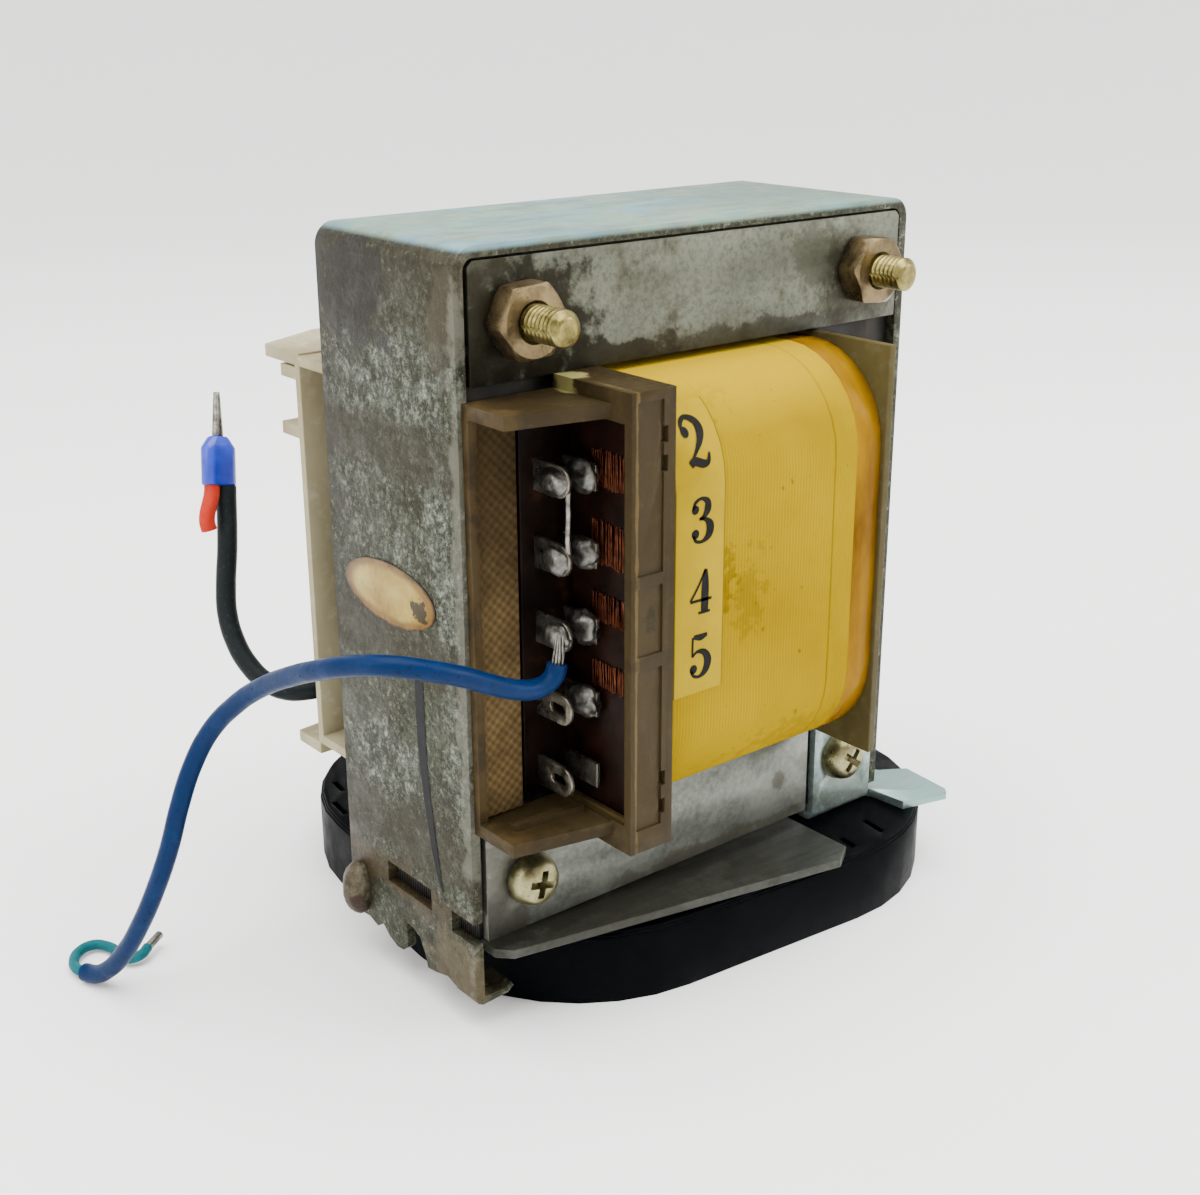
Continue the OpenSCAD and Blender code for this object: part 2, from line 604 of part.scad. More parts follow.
// Flat bunches of enamelled wire that show at the coil's left end, in front of the tags
module winding_tails() color("#8f4a26")
    for (b = [[pins[1] + 1.8, 0.76], [pins[2] + 0.8, 0.8], [pins[3] - 1.8, 1.2], [pins[4] - 1.8, 1]])
        translate([-flange_x - tails_t, lug_y - tails_l - 4.6, b[0]]) cube([tails_t, tails_l, b[1] * tails_h]);

module cloth_strip() color("#c0a06c")
    translate([-core_w / 2 + 0.4, -stack / 2 - cloth_t, shroud_low + shroud_t + 0.1])
        cube([cloth_w, cloth_t, shroud_top - shroud_low - 2 * shroud_t - 0.2]);

// ---- leads ----

module blue_lead() color("#0f3f86") lead(blue_pts, lead_d);

// Tinned strands from the blue lead's stripped end to the middle lug
module lead_strands() color("#a9a79d") lead(strand_pts, 1.7);

module tail_lead() color("#2f8f8a") lead(tail_pts, tail_d);

module tail_tip() color("#8d8a84") translate(tail_pts[len(tail_pts) - 1]) {
    way = unit(tail_pts[len(tail_pts) - 1] - tail_pts[len(tail_pts) - 2]);
    rotate([0, acos(way[2]), atan2(way[1], way[0])]) cylinder(d = 1.3, h = 3.4, $fn = 12);
}

module black_lead() color("#20262a") lead(black_pts, black_d);

// The ferrule's own frame: its axis up the end of the black lead
module at_ferrule() {
    end = black_pts[len(black_pts) - 1];
    way = unit(end - black_pts[len(black_pts) - 2]);
    translate(end) rotate([0, acos(way[2]), atan2(way[1], way[0])]) rotate(140)
        translate([(ferrule_w - black_d) / 2, 0, 0]) children();
}

// Flat sleeve for two leads, narrowing to the pin
module ferrule_sleeve() color("#1f3fae") at_ferrule() hull() for (x = [-1, 1]) {
    translate([x * (ferrule_w - black_d) / 2, 0, 0]) cylinder(d = black_d, h = ferrule_l * 0.76, $fn = 24);
    translate([x * (ferrule_w - black_d) / 4, 0, 0]) cylinder(d = black_d * 0.6, h = ferrule_l, $fn = 24);
}

module ferrule_pin() color("#b9b6ae") at_ferrule() translate([0, 0, ferrule_l])
    cylinder(d1 = 1.8, d2 = 1, h = ferrule_pin_l, $fn = 16);

module red_stub() color("#c8402c") at_ferrule() lead(red_pts, red_d);

base_block();
foot_plate();
side_bracket();
cover_strap();
leg_rivet();
side_sticker();
e_laminations();
i_laminations();
bobbin();
primary_winding();
winding_barrier();
secondary_winding();
coil_tape();
margin_tape();
number_strip();
top_front_plate();
top_back_plate();
bottom_front_plate();
bottom_back_plate();
top_bolts();
top_nuts();
bottom_screws();
bottom_nuts();
front_shroud();
back_shroud();
front_board();
front_lugs();
back_lugs();
front_winding_tags();
solder_joints();
jumper_wire();
winding_tails();
cloth_strip();
blue_lead();
lead_strands();
tail_lead();
tail_tip();
black_lead();
red_stub();
ferrule_sleeve();
ferrule_pin();
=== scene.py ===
import math
import random

import bmesh
import bpy
from mathutils import Matrix, Vector, noise


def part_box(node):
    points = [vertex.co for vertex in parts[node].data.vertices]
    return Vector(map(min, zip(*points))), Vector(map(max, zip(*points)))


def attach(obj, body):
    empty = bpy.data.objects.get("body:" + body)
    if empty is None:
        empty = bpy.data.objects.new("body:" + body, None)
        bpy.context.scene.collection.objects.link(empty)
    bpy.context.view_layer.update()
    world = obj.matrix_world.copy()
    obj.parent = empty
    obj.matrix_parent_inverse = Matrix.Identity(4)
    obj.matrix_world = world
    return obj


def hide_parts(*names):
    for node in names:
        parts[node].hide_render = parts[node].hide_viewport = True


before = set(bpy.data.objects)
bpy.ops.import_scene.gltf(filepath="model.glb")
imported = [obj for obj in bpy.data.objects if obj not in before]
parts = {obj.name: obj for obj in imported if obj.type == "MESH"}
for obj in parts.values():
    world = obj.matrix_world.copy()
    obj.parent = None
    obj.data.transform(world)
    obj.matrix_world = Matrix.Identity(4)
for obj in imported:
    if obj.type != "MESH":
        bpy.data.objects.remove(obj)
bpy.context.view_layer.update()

# ---- Camera ----
# A normal lens a quarter of a metre from the front left corner, a little above the terminals.
eye = Vector((-0.15796, -0.18723, 0.14125))
swing, tilt, roll = math.radians(-39.222), math.radians(19.840), math.radians(-0.226)
to_eye = Vector((math.sin(swing) * math.cos(tilt), -math.cos(swing) * math.cos(tilt), math.sin(tilt)))
level = Vector((math.cos(swing), math.sin(swing), 0))
upright = to_eye.cross(level)
cam_right = level * math.cos(roll) + upright * math.sin(roll)
cam_up = upright * math.cos(roll) - level * math.sin(roll)
camera = bpy.data.objects.new("camera", bpy.data.cameras.new("camera"))
bpy.context.scene.collection.objects.link(camera)
turn = Matrix((cam_right, cam_up, to_eye)).transposed().to_4x4()
camera.matrix_world = Matrix.Translation(eye) @ turn
camera.data.lens = 50.246
camera.data.sensor_width = 36
camera.data.clip_start, camera.data.clip_end = 0.01, 20
bpy.context.scene.camera = camera


# ---- Blue lead ----
# A single stranded lead in a blue plastic sleeve, 2.8 mm over the insulation, soldered to the middle
# lug. It bows out past the left wall, droops behind it and comes to rest on the bench.
def pigment(name, color, rough=0.5, metal=0.0, **sockets):
    """A new finish with its principal shader, returned with its node tree."""
    mat = bpy.data.materials.new(name)
    mat.use_nodes = True
    shader = mat.node_tree.nodes["Principled BSDF"]
    shader.inputs["Base Color"].default_value = (*color, 1)
    shader.inputs["Roughness"].default_value = rough
    shader.inputs["Metallic"].default_value = metal
    for key, value in sockets.items():
        shader.inputs[key.replace("_", " ")].default_value = value
    mat.diffuse_color = (*color, 1)
    return mat, mat.node_tree, shader


def mottle(tree, grain, detail=5.0, rough=0.6, stretch=(1, 1, 1), warp=0.0, offset=(0, 0, 0)):
    """Cloudy noise on the object's own coordinates; grain is in spots to the metre."""
    place = tree.nodes.new("ShaderNodeTexCoord")
    fit = tree.nodes.new("ShaderNodeMapping")
    fit.inputs["Scale"].default_value = stretch
    fit.inputs["Location"].default_value = offset
    tree.links.new(place.outputs["Object"], fit.inputs["Vector"])
    cloud = tree.nodes.new("ShaderNodeTexNoise")
    cloud.inputs["Scale"].default_value = grain
    cloud.inputs["Detail"].default_value = detail
    cloud.inputs["Roughness"].default_value = rough
    cloud.inputs["Distortion"].default_value = warp
    tree.links.new(fit.outputs["Vector"], cloud.inputs["Vector"])
    return cloud.outputs["Fac"]


def graded(tree, value, stops):
    """Colours or greys strung along a value from 0 to 1."""
    ramp = tree.nodes.new("ShaderNodeValToRGB")
    band = ramp.color_ramp
    while len(band.elements) < len(stops):
        band.elements.new(0.5)
    for element, (at, tone) in zip(band.elements, stops):
        element.position = at
        element.color = (tone, tone, tone, 1) if isinstance(tone, (int, float)) else (*tone, 1)
    tree.links.new(value, ramp.inputs["Fac"])
    return ramp.outputs["Color"]


def layered(tree, amount, under, over, mode="MIX"):
    """One colour laid over another where the amount says."""
    mix = tree.nodes.new("ShaderNodeMix")
    mix.data_type = "RGBA"
    mix.blend_type = mode
    for socket, value in ((mix.inputs["Factor"], amount), (mix.inputs["A"], under), (mix.inputs["B"], over)):
        if isinstance(value, bpy.types.NodeSocket):
            tree.links.new(value, socket)
        else:
            socket.default_value = value if isinstance(value, (int, float)) else (*value, 1)
    return mix.outputs["Result"]


def reckoned(tree, sum_, a, b=0.0, clamp=False):
    """Arithmetic on one or two values."""
    node = tree.nodes.new("ShaderNodeMath")
    node.operation = sum_
    node.use_clamp = clamp
    for socket, value in zip(node.inputs, (a, b)):
        if isinstance(value, bpy.types.NodeSocket):
            tree.links.new(value, socket)
        else:
            socket.default_value = value
    return node.outputs[0]


def raised(tree, shader, height, depth, strength=1.0, under=None):
    """Surface relief; depth in metres."""
    bump = tree.nodes.new("ShaderNodeBump")
    bump.inputs["Distance"].default_value = depth
    bump.inputs["Strength"].default_value = strength
    tree.links.new(height, bump.inputs["Height"])
    if under is not None:
        tree.links.new(under, bump.inputs["Normal"])
    if shader is not None:
        tree.links.new(bump.outputs["Normal"], shader.inputs["Normal"])
    return bump.outputs["Normal"]


def sleeve_finish(name, color, dirt, rough):
    """Extruded plastic insulation: slightly uneven, with grime and faint rubbed marks."""
    mat, tree, shader = pigment(name, color, rough, Specular_IOR_Level=0.07)
    grime = graded(tree, mottle(tree, 240, 6, 0.65), [(0.50, 0.0), (0.72, 1.0)])
    specks = graded(tree, mottle(tree, 1500, 3, 0.5), [(0.62, 0.0), (0.70, 0.7)])
    worn = layered(tree, grime, color, tuple(c * 1.4 + 0.002 for c in color))
    tree.links.new(layered(tree, specks, worn, dirt), shader.inputs["Base Color"])
    tree.links.new(graded(tree, mottle(tree, 300, 4), [(0.3, rough - 0.08), (0.7, rough + 0.14)]),
                   shader.inputs["Roughness"])
    raised(tree, shader, mottle(tree, 500, 4, 0.6), 0.00015, 0.5)
    return mat


def run_lead(name, route, diameter, mat, nodes, ends=(True, True)):
    """A round lead as one smooth spline along its route, in metres."""
    curve = bpy.data.curves.new(name, "CURVE")
    curve.dimensions = "3D"
    curve.bevel_depth = diameter / 2
    curve.bevel_resolution = 6
    curve.resolution_u = 10
    curve.use_fill_caps = True
    line = curve.splines.new("BEZIER")
    line.bezier_points.add(len(route) - 1)
    for knot, place in zip(line.bezier_points, route):
        knot.co = [c / 1000 for c in place]
        knot.handle_left_type = knot.handle_right_type = "AUTO"
    curve.materials.append(mat)
    lead = bpy.data.objects.new(name, curve)
    bpy.context.scene.collection.objects.link(lead)
    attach(lead, "root")
    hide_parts(*nodes)
    return lead


def wires(name, routes, diameter, mat, nodes=(), sides=2):
    """Several fine wires as one piece."""
    curve = bpy.data.curves.new(name, "CURVE")
    curve.dimensions = "3D"
    curve.bevel_depth = diameter / 2
    curve.bevel_resolution = sides
    curve.resolution_u = 5
    curve.use_fill_caps = True
    for route in routes:
        line = curve.splines.new("BEZIER")
        line.bezier_points.add(len(route) - 1)
        for knot, place in zip(line.bezier_points, route):
            knot.co = [c / 1000 for c in place]
            knot.handle_left_type = knot.handle_right_type = "AUTO"
    maker = bpy.data.objects.new(name, curve)
    bpy.context.scene.collection.objects.link(maker)
    bpy.context.view_layer.update()
    mesh = bpy.data.meshes.new_from_object(maker.evaluated_get(bpy.context.evaluated_depsgraph_get()))
    mesh.name = name
    bpy.data.objects.remove(maker)
    mesh.materials.clear()
    mesh.materials.append(mat)
    piece = bpy.data.objects.new(name, mesh)
    bpy.context.scene.collection.objects.link(piece)
    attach(piece, "root")
    if nodes:
        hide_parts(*nodes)
    return piece


blue_plastic = sleeve_finish("blue_sleeve_plastic", (0.0008, 0.0125, 0.052), (0.003, 0.004, 0.006), 0.34)
blue_route = [
    (-32.4, -24.4, 57.8), (-32.6, -24.4, 56.9), (-33.2, -24.4, 56), (-34.3, -24.4, 55.4), (-36.2, -24.4, 55.2),
    (-39.2, -24.4, 55.9), (-43.2, -24.4, 57.7), (-47.3, -24.3, 59.8), (-51.8, -23.6, 61.6), (-56, -21.2, 62.6),
    (-58.6, -15.8, 61.6), (-59.8, -9.6, 59.4), (-60.2, -3, 56.6), (-60.8, 4, 53), (-62.2, 10.2, 48.6),
    (-64.4, 14.2, 43.8), (-66.8, 16, 38.4), (-69, 16.6, 32.6), (-71, 17, 26.4), (-73, 18.6, 19.8),
    (-74.8, 21.4, 13.2), (-76.3, 25, 7.4), (-77.6, 28.6, 3.4), (-78.6, 31, 1.85), (-79.4, 33.2, 1.45),
]
blue_lead = run_lead("blue_lead_sleeve", blue_route, 0.0028, blue_plastic, ["blue_lead"])

tinned, tree, shader = pigment("tinned_copper", (0.2, 0.19, 0.17), 0.34, 1.0)
tone = graded(tree, mottle(tree, 900, 5), [(0.35, (0.060, 0.052, 0.042)), (0.62, (0.26, 0.25, 0.225))])
tree.links.new(tone, shader.inputs["Base Color"])
raised(tree, shader, mottle(tree, 2500, 4), 0.0001, 0.6)
# Stripped strands, tinned together and splayed a little where they reach the lug
loose = random.Random(4)
stripped = []
for k in range(14):
    a, r = k * 2.4, 0.78 * math.sqrt((k + 0.5) / 14)
    across, along = r * math.cos(a), r * math.sin(a)
    end = [loose.uniform(-0.25, 0.25) for _ in range(3)]
    stripped.append([(-32.4 + across, -24.4 + along, 57.7), (-32.2 + across, -24.4 + along, 58.8),
                     (-31.75 + 0.8 * across, -24 + 0.8 * along, 60), (-31.25 + 0.6 * across + 0.4 * end[0],
                     -23.4 + 0.8 * along + end[1], 61.2 + end[2])])
strands = wires("stripped_strands", stripped, 0.00036, tinned, ["lead_strands"], 2)

# ---- Thin lead at the blue lead's end ----
# A short curl of thinner teal insulated wire that comes out of the blue sleeve and ends in a bare
# tinned tip.
teal_plastic = sleeve_finish("teal_sleeve_plastic", (0.004, 0.085, 0.10), (0.01, 0.02, 0.03), 0.45)
tail_route = [(-79.4, 33.2, 1.45), (-79.9, 35.2, 1.3), (-79.4, 37.6, 1.2), (-77.6, 39.8, 1.2), (-75.2, 40.3, 1.2),
              (-73.5, 38.6, 1.1), (-73, 36.2, 1.1), (-73, 34, 1.2), (-72.2, 32.4, 1.4), (-70.8, 32.2, 1.6),
              (-69.2, 33.2, 1.8)]
tail_lead = run_lead("tail_lead_sleeve", tail_route, 0.0016, teal_plastic, ["tail_lead"])

parts["tail_tip"].data.materials.clear()
parts["tail_tip"].data.materials.append(tinned)

# ---- Black lead, cut red lead and double ferrule ----
# The black lead leaves the lowest rear lug, turns up beside the cover and ends in a blue double
# wire-end ferrule. The ferrule's other lead, red, is cut off just below it.
black_plastic = sleeve_finish("black_sleeve_plastic", (0.0065, 0.009, 0.0095), (0.026, 0.026, 0.024), 0.38)
black_route = [(-30.4, 29, 39), (-33.4, 29, 39), (-37, 29, 38.7), (-40.4, 29.8, 38.5), (-43.2, 31.6, 38.7),
               (-45, 34.2, 39.8), (-46.2, 37.2, 42), (-46.7, 40.2, 45.2), (-46.5, 42.6, 49.2),
               (-45.5, 44.2, 53.7), (-44.1, 45.6, 58.8), (-43, 47, 63.8), (-42.1, 48.3, 68)]
black_lead = run_lead("black_lead_sleeve", black_route, 0.0032, black_plastic, ["black_lead"])


def rounded_off(name, node, mat, width, steps=2, angle=32.0):
    """The CAD piece with its hard edges broken, in its finish."""
    shape = bmesh.new()
    shape.from_mesh(parts[node].data)
    bmesh.ops.remove_doubles(shape, verts=shape.verts, dist=2e-6)
    bmesh.ops.dissolve_limit(shape, angle_limit=math.radians(0.6), verts=shape.verts, edges=shape.edges)
    mesh = bpy.data.meshes.new(name)
    for face in shape.faces:
        face.smooth = True
    shape.to_mesh(mesh)
    shape.free()
    mesh.materials.append(mat)
    piece = bpy.data.objects.new(name, mesh)
    bpy.context.scene.collection.objects.link(piece)
    edge = piece.modifiers.new("broken_edges", "BEVEL")
    edge.width = width
    edge.segments = steps
    edge.limit_method = "ANGLE"
    edge.angle_limit = math.radians(angle)
    edge.harden_normals = True
    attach(piece, "root")
    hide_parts(node)
    return piece


nylon, tree, shader = pigment("blue_ferrule_nylon", (0.006, 0.028, 0.36), 0.3)
tree.links.new(graded(tree, mottle(tree, 400, 4), [(0.3, (0.004, 0.018, 0.26)), (0.7, (0.010, 0.040, 0.46))]),
               shader.inputs["Base Color"])
ferrule_sleeve = rounded_off("ferrule_collar", "ferrule_sleeve", nylon, 0.0003)
ferrule_pin = rounded_off("ferrule_crimp", "ferrule_pin", tinned, 0.00012)
red_plastic = sleeve_finish("red_sleeve_plastic", (0.36, 0.022, 0.010), (0.16, 0.015, 0.010), 0.42)
ferrule_axis = (Vector(black_route[-1]) - Vector(black_route[-2])).normalized()
ferrule_turn = (Matrix.Rotation(math.atan2(ferrule_axis.y, ferrule_axis.x), 3, "Z")
                @ Matrix.Rotation(math.acos(ferrule_axis.z), 3, "Y") @ Matrix.Rotation(math.radians(140), 3, "Z"))
red_route = [tuple(Vector(black_route[-1]) + ferrule_turn @ Vector((2.9 + across, 0, up))) for across, up in
             ((0, -0.1), (0.1, -1.4), (0.6, -3), (1.1, -4.5), (1.2, -5.9), (0.8, -7.1))]
red_stub = run_lead("red_lead_stub", red_route, 0.0025, red_plastic, ["red_stub"])

# ---- Bench and studio light ----
# A white paper sweep that lies flat under the part and curves up all round it, lit by a large soft box
# overhead and weaker ones at both sides.
sweep_paper, tree, shader = pigment("sweep_paper", (0.93, 0.925, 0.915), 0.75, Specular_IOR_Level=0.2)
sweep = bmesh.new()
profile = [(0.0, 0.0), (0.5, 0.0), (0.9, 0.0)]
profile += [(0.9 + 0.9 * math.sin(a), 0.9 - 0.9 * math.cos(a)) for a in [math.radians(6 * k) for k in range(1, 16)]]
profile += [(1.8, 1.6), (1.8, 2.6)]
rail = [sweep.verts.new((r, 0, z)) for r, z in profile]
edges = [sweep.edges.new(pair) for pair in zip(rail, rail[1:])]
bmesh.ops.spin(sweep, geom=rail + edges, cent=(0, 0, 0), axis=(0, 0, 1), angle=2 * math.pi, steps=64, use_merge=True)
bmesh.ops.remove_doubles(sweep, verts=sweep.verts, dist=0.0005)
bmesh.ops.recalc_face_normals(sweep, faces=sweep.faces)
bmesh.ops.reverse_faces(sweep, faces=sweep.faces)
floor_mesh = bpy.data.meshes.new("bench")
for face in sweep.faces:
    face.smooth = True
sweep.to_mesh(floor_mesh)
sweep.free()
floor_mesh.materials.append(sweep_paper)
bench = bpy.data.objects.new("bench", floor_mesh)
bpy.context.scene.collection.objects.link(bench)

sky = bpy.data.worlds.new("studio")
sky.use_nodes = True
sky.node_tree.nodes["Background"].inputs["Color"].default_value = (1.0, 1.0, 1.0, 1)
sky.node_tree.nodes["Background"].inputs["Strength"].default_value = 0.85
bpy.context.scene.world = sky


def soft_box(name, place, aim, size, power, tint=(1, 1, 1)):
    light = bpy.data.lights.new(name, "AREA")
    light.shape = "RECTANGLE"
    light.size, light.size_y = size
    light.energy = power
    light.color = tint
    lamp = bpy.data.objects.new(name, light)
    bpy.context.scene.collection.objects.link(lamp)
    lamp.location = place
    lamp.rotation_mode = "QUATERNION"
    lamp.rotation_quaternion = (Vector(place) - Vector(aim)).to_track_quat("Z", "Y")
    return lamp


soft_box("overhead_box", (-0.05, -0.10, 1.1), (0, 0, 0.05), (1.3, 1.1), 36)
soft_box("right_front_box", (0.75, -0.65, 0.55), (0, 0, 0.06), (0.6, 0.6), 9)
soft_box("left_box", (-1.0, 0.15, 0.6), (0, 0, 0.06), (0.7, 0.7), 6)

# ---- Base block ----
# A black moulded plastic block under the feet, satin, with a thin bright line where its upper edge
# is rounded.
black_moulding, tree, shader = pigment("black_moulded_plastic", (0.0009, 0.0011, 0.0016), 0.6,
                                       Specular_IOR_Level=0.02)
dusty = graded(tree, mottle(tree, 90, 6, 0.65), [(0.45, 0.0), (0.75, 0.5)])
tree.links.new(layered(tree, dusty, (0.0006, 0.0009, 0.0014), (0.0022, 0.0028, 0.0035)), shader.inputs["Base Color"])
tree.links.new(graded(tree, mottle(tree, 160, 5), [(0.35, 0.34), (0.7, 0.55)]), shader.inputs["Roughness"])
raised(tree, shader, mottle(tree, 2600, 3), 0.00006, 0.5)
rounded_off("base_moulding", "base_block", black_moulding, 0.0003)


# ---- Foot plate and side bracket ----
# Zinc-plated steel sheet, bright and fairly even, with rolled grain along the sheet, light
# scratches and grey handling marks. The sheared edges catch the light. A painted shadow darkens the
# foot plate just under the lower clamp strip, and painted shade darkens the bracket's lower bend.
def patch(tree, centre, size, ragged=0.6, grain=260.0, soft=0.5):
    """A mask with a ragged border round one place on the piece, in millimetres, used for stains and for painted light
    and shade.
    """
    place = tree.nodes.new("ShaderNodeTexCoord")
    fit = tree.nodes.new("ShaderNodeMapping")
    fit.inputs["Scale"].default_value = [1000 / s for s in size]
    fit.inputs["Location"].default_value = [-c / s for c, s in zip(centre, size)]
    tree.links.new(place.outputs["Object"], fit.inputs["Vector"])
    reach = tree.nodes.new("ShaderNodeVectorMath")
    reach.operation = "LENGTH"
    tree.links.new(fit.outputs["Vector"], reach.inputs[0])
    torn = reckoned(tree, "MULTIPLY", reckoned(tree, "SUBTRACT", mottle(tree, grain, 5, 0.65), 0.5), ragged * 4)
    edge = reckoned(tree, "ADD", reach.outputs["Value"], torn)
    fade = tree.nodes.new("ShaderNodeMapRange")
    fade.interpolation_type = "SMOOTHSTEP"
    fade.inputs["From Min"].default_value = 1 + soft / 2
    fade.inputs["From Max"].default_value = 1 - soft / 2
    tree.links.new(edge, fade.inputs["Value"])
    return fade.outputs["Result"]


def bright_zinc_finish(name, tone, stains_and_shade=()):
    mat, tree, shader = pigment(name, tone, 0.4, 0.55, Specular_IOR_Level=0.25)
    darker = tuple(c * 0.62 for c in tone)
    cloudy = graded(tree, mottle(tree, 110, 6, 0.6), [(0.35, darker), (0.62, tone)])
    fine = graded(tree, mottle(tree, 900, 4, 0.7), [(0.40, 0.0), (0.75, 0.7)])
    color = layered(tree, fine, cloudy, tuple(min(c * 1.5, 1) for c in tone))
    for centre, size, shade, amount, ragged in stains_and_shade:
        mask = reckoned(tree, "MULTIPLY", patch(tree, centre, size, ragged), amount)
        color = layered(tree, mask, color, shade)
    tree.links.new(color, shader.inputs["Base Color"])
    streak = mottle(tree, 300, 4, 0.6, (0.12, 1, 1))
    tree.links.new(graded(tree, streak, [(0.3, 0.28), (0.7, 0.52)]), shader.inputs["Roughness"])
    raised(tree, shader, mottle(tree, 1400, 4, 0.6), 0.00008, 0.35,
           raised(tree, None, mottle(tree, 700, 3, 0.6, (0.06, 1, 1)), 0.00008, 0.35))
    return mat


foot_zinc = bright_zinc_finish("foot_plate_zinc", (0.0381, 0.0399, 0.0327), [
    ((-20, -22, 13), (16, 5, 4), (0.0164, 0.0145, 0.0094), 0.5, 0.8),
    ((6, -24, 13), (6, 3, 4), (0.0145, 0.0131, 0.008), 0.7, 0.8),
    # painted shadow: a thin dark strip along the flange just under the lower clamp strip's edge
    ((-12, -17.5, 13), (30, 2.4, 4), (0.0127, 0.0116, 0.008), 0.7, 0.8),
])
rounded_off("foot_sheet", "foot_plate", foot_zinc, 0.00018)
bracket_zinc = bright_zinc_finish("side_bracket_zinc", (0.266, 0.332, 0.316), [
    # painted shade: a darker band along the bracket's lower bend, where the sheet turns away from the light
    ((34, -16.5, 15), (6, 3, 4), (0.1006, 0.1102, 0.0892), 0.6, 0.8),
    ((49, -19, 13), (7, 10, 4), (0.2042, 0.3441, 0.3221), 0.9, 0.3),
])
rounded_off("folded_bracket", "side_bracket", bracket_zinc, 0.00018)

# ---- Core ----
# About sixty thin laminations on edge in each stack, dark with mill oxide and a little rust, their
# edges showing as fine lines front to back.
lamination_steel, tree, shader = pigment("lamination_steel", (0.05, 0.045, 0.04), 0.5, 0.7)
oxide = graded(tree, mottle(tree, 160, 6, 0.65), [(0.40, (0.004, 0.004, 0.004)), (0.60, (0.012, 0.010, 0.007)),
                                                (0.78, (0.028, 0.015, 0.007))])
tree.links.new(oxide, shader.inputs["Base Color"])
place = tree.nodes.new("ShaderNodeTexCoord")
apart = tree.nodes.new("ShaderNodeSeparateXYZ")
tree.links.new(place.outputs["Object"], apart.inputs[0])
sheets = reckoned(tree, "PINGPONG", apart.outputs["Y"], 0.00025)
raised(tree, shader, reckoned(tree, "MULTIPLY", sheets, 4000), 0.00015, 0.8)
for node in ("e_laminations", "i_laminations"):
    rounded_off(node.replace("laminations", "stack"), node, lamination_steel, 0.0002)


# ---- Bobbin and windings ----
# A smoky moulded bobbin whose flanges stand just proud of the coil. The windings under the tape are
# enamelled copper, seen only at the coil's open left end.
def smoky_finish(name, tone, deep, rough=0.3, clear=0.12, dusting=(0.10, 0.085, 0.055), marks_and_painted_light=(), dark_from=None):
    """Brown-grey moulding, yellowed unevenly, with flow marks and listed patches of marks and painted light; clear
    sets how much light it lets through.
    """
    mat, tree, shader = pigment(name, tone, rough, IOR=1.5, Specular_IOR_Level=0.07)
    flow = graded(tree, mottle(tree, 60, 5, 0.6, (1, 1, 0.4)), [(0.32, deep), (0.68, tone)])
    dust = graded(tree, mottle(tree, 520, 5, 0.6), [(0.54, 0.0), (0.76, 0.45)])
    color = layered(tree, dust, flow, dusting)
    for centre, size, shade, amount, ragged in marks_and_painted_light:
        color = layered(tree, reckoned(tree, "MULTIPLY", patch(tree, centre, size, ragged), amount), color, shade)
    if dark_from is not None:
        # Everything left of dark_from, the flange behind the lugs, is coloured nearly black
        place = tree.nodes.new("ShaderNodeTexCoord")
        apart = tree.nodes.new("ShaderNodeSeparateXYZ")
        tree.links.new(place.outputs["Object"], apart.inputs[0])
        side = reckoned(tree, "LESS_THAN", apart.outputs["X"], dark_from)
        near_black_left = graded(tree, mottle(tree, 220, 6), [(0.35, (0.0015, 0.0008, 0.0005)),
                                                     (0.70, (0.014, 0.0045, 0.0024))])
        color = layered(tree, side, color, near_black_left)
    tree.links.new(color, shader.inputs["Base Color"])
    shader.inputs["Transmission Weight"].default_value = clear
    tree.links.new(graded(tree, mottle(tree, 300, 4), [(0.3, rough - 0.08), (0.7, rough + 0.18)]),
                   shader.inputs["Roughness"])
    raised(tree, shader, mottle(tree, 420, 4, 0.6), 0.00010, 0.45)
    return mat


smoky_plastic = smoky_finish("smoky_bobbin_plastic", (0.0675, 0.0533, 0.0174), (0.0324, 0.0247, 0.0084), 0.34, 0.0,
                             dark_from=0.0)
rounded_off("moulded_bobbin", "bobbin", smoky_plastic, 0.0002)

copper_turns, tree, shader = pigment("enamelled_copper_turns", (0.38, 0.12, 0.05), 0.3, 0.9)
place = tree.nodes.new("ShaderNodeTexCoord")
apart = tree.nodes.new("ShaderNodeSeparateXYZ")
tree.links.new(place.outputs["Object"], apart.inputs[0])
turns = reckoned(tree, "PINGPONG", apart.outputs["X"], 0.0002)
raised(tree, shader, reckoned(tree, "MULTIPLY", turns, 5000), 0.0002, 0.8)
copper_tone = graded(tree, mottle(tree, 800, 4), [(0.35, (0.0449, 0.0107, 0.0045)), (0.7, (0.1978, 0.0584, 0.0252))])
tree.links.new(copper_tone, shader.inputs["Base Color"])
for node in ("primary_winding", "secondary_winding"):
    piece = parts[node]
    piece.data.materials.clear()
    piece.data.materials.append(copper_turns)

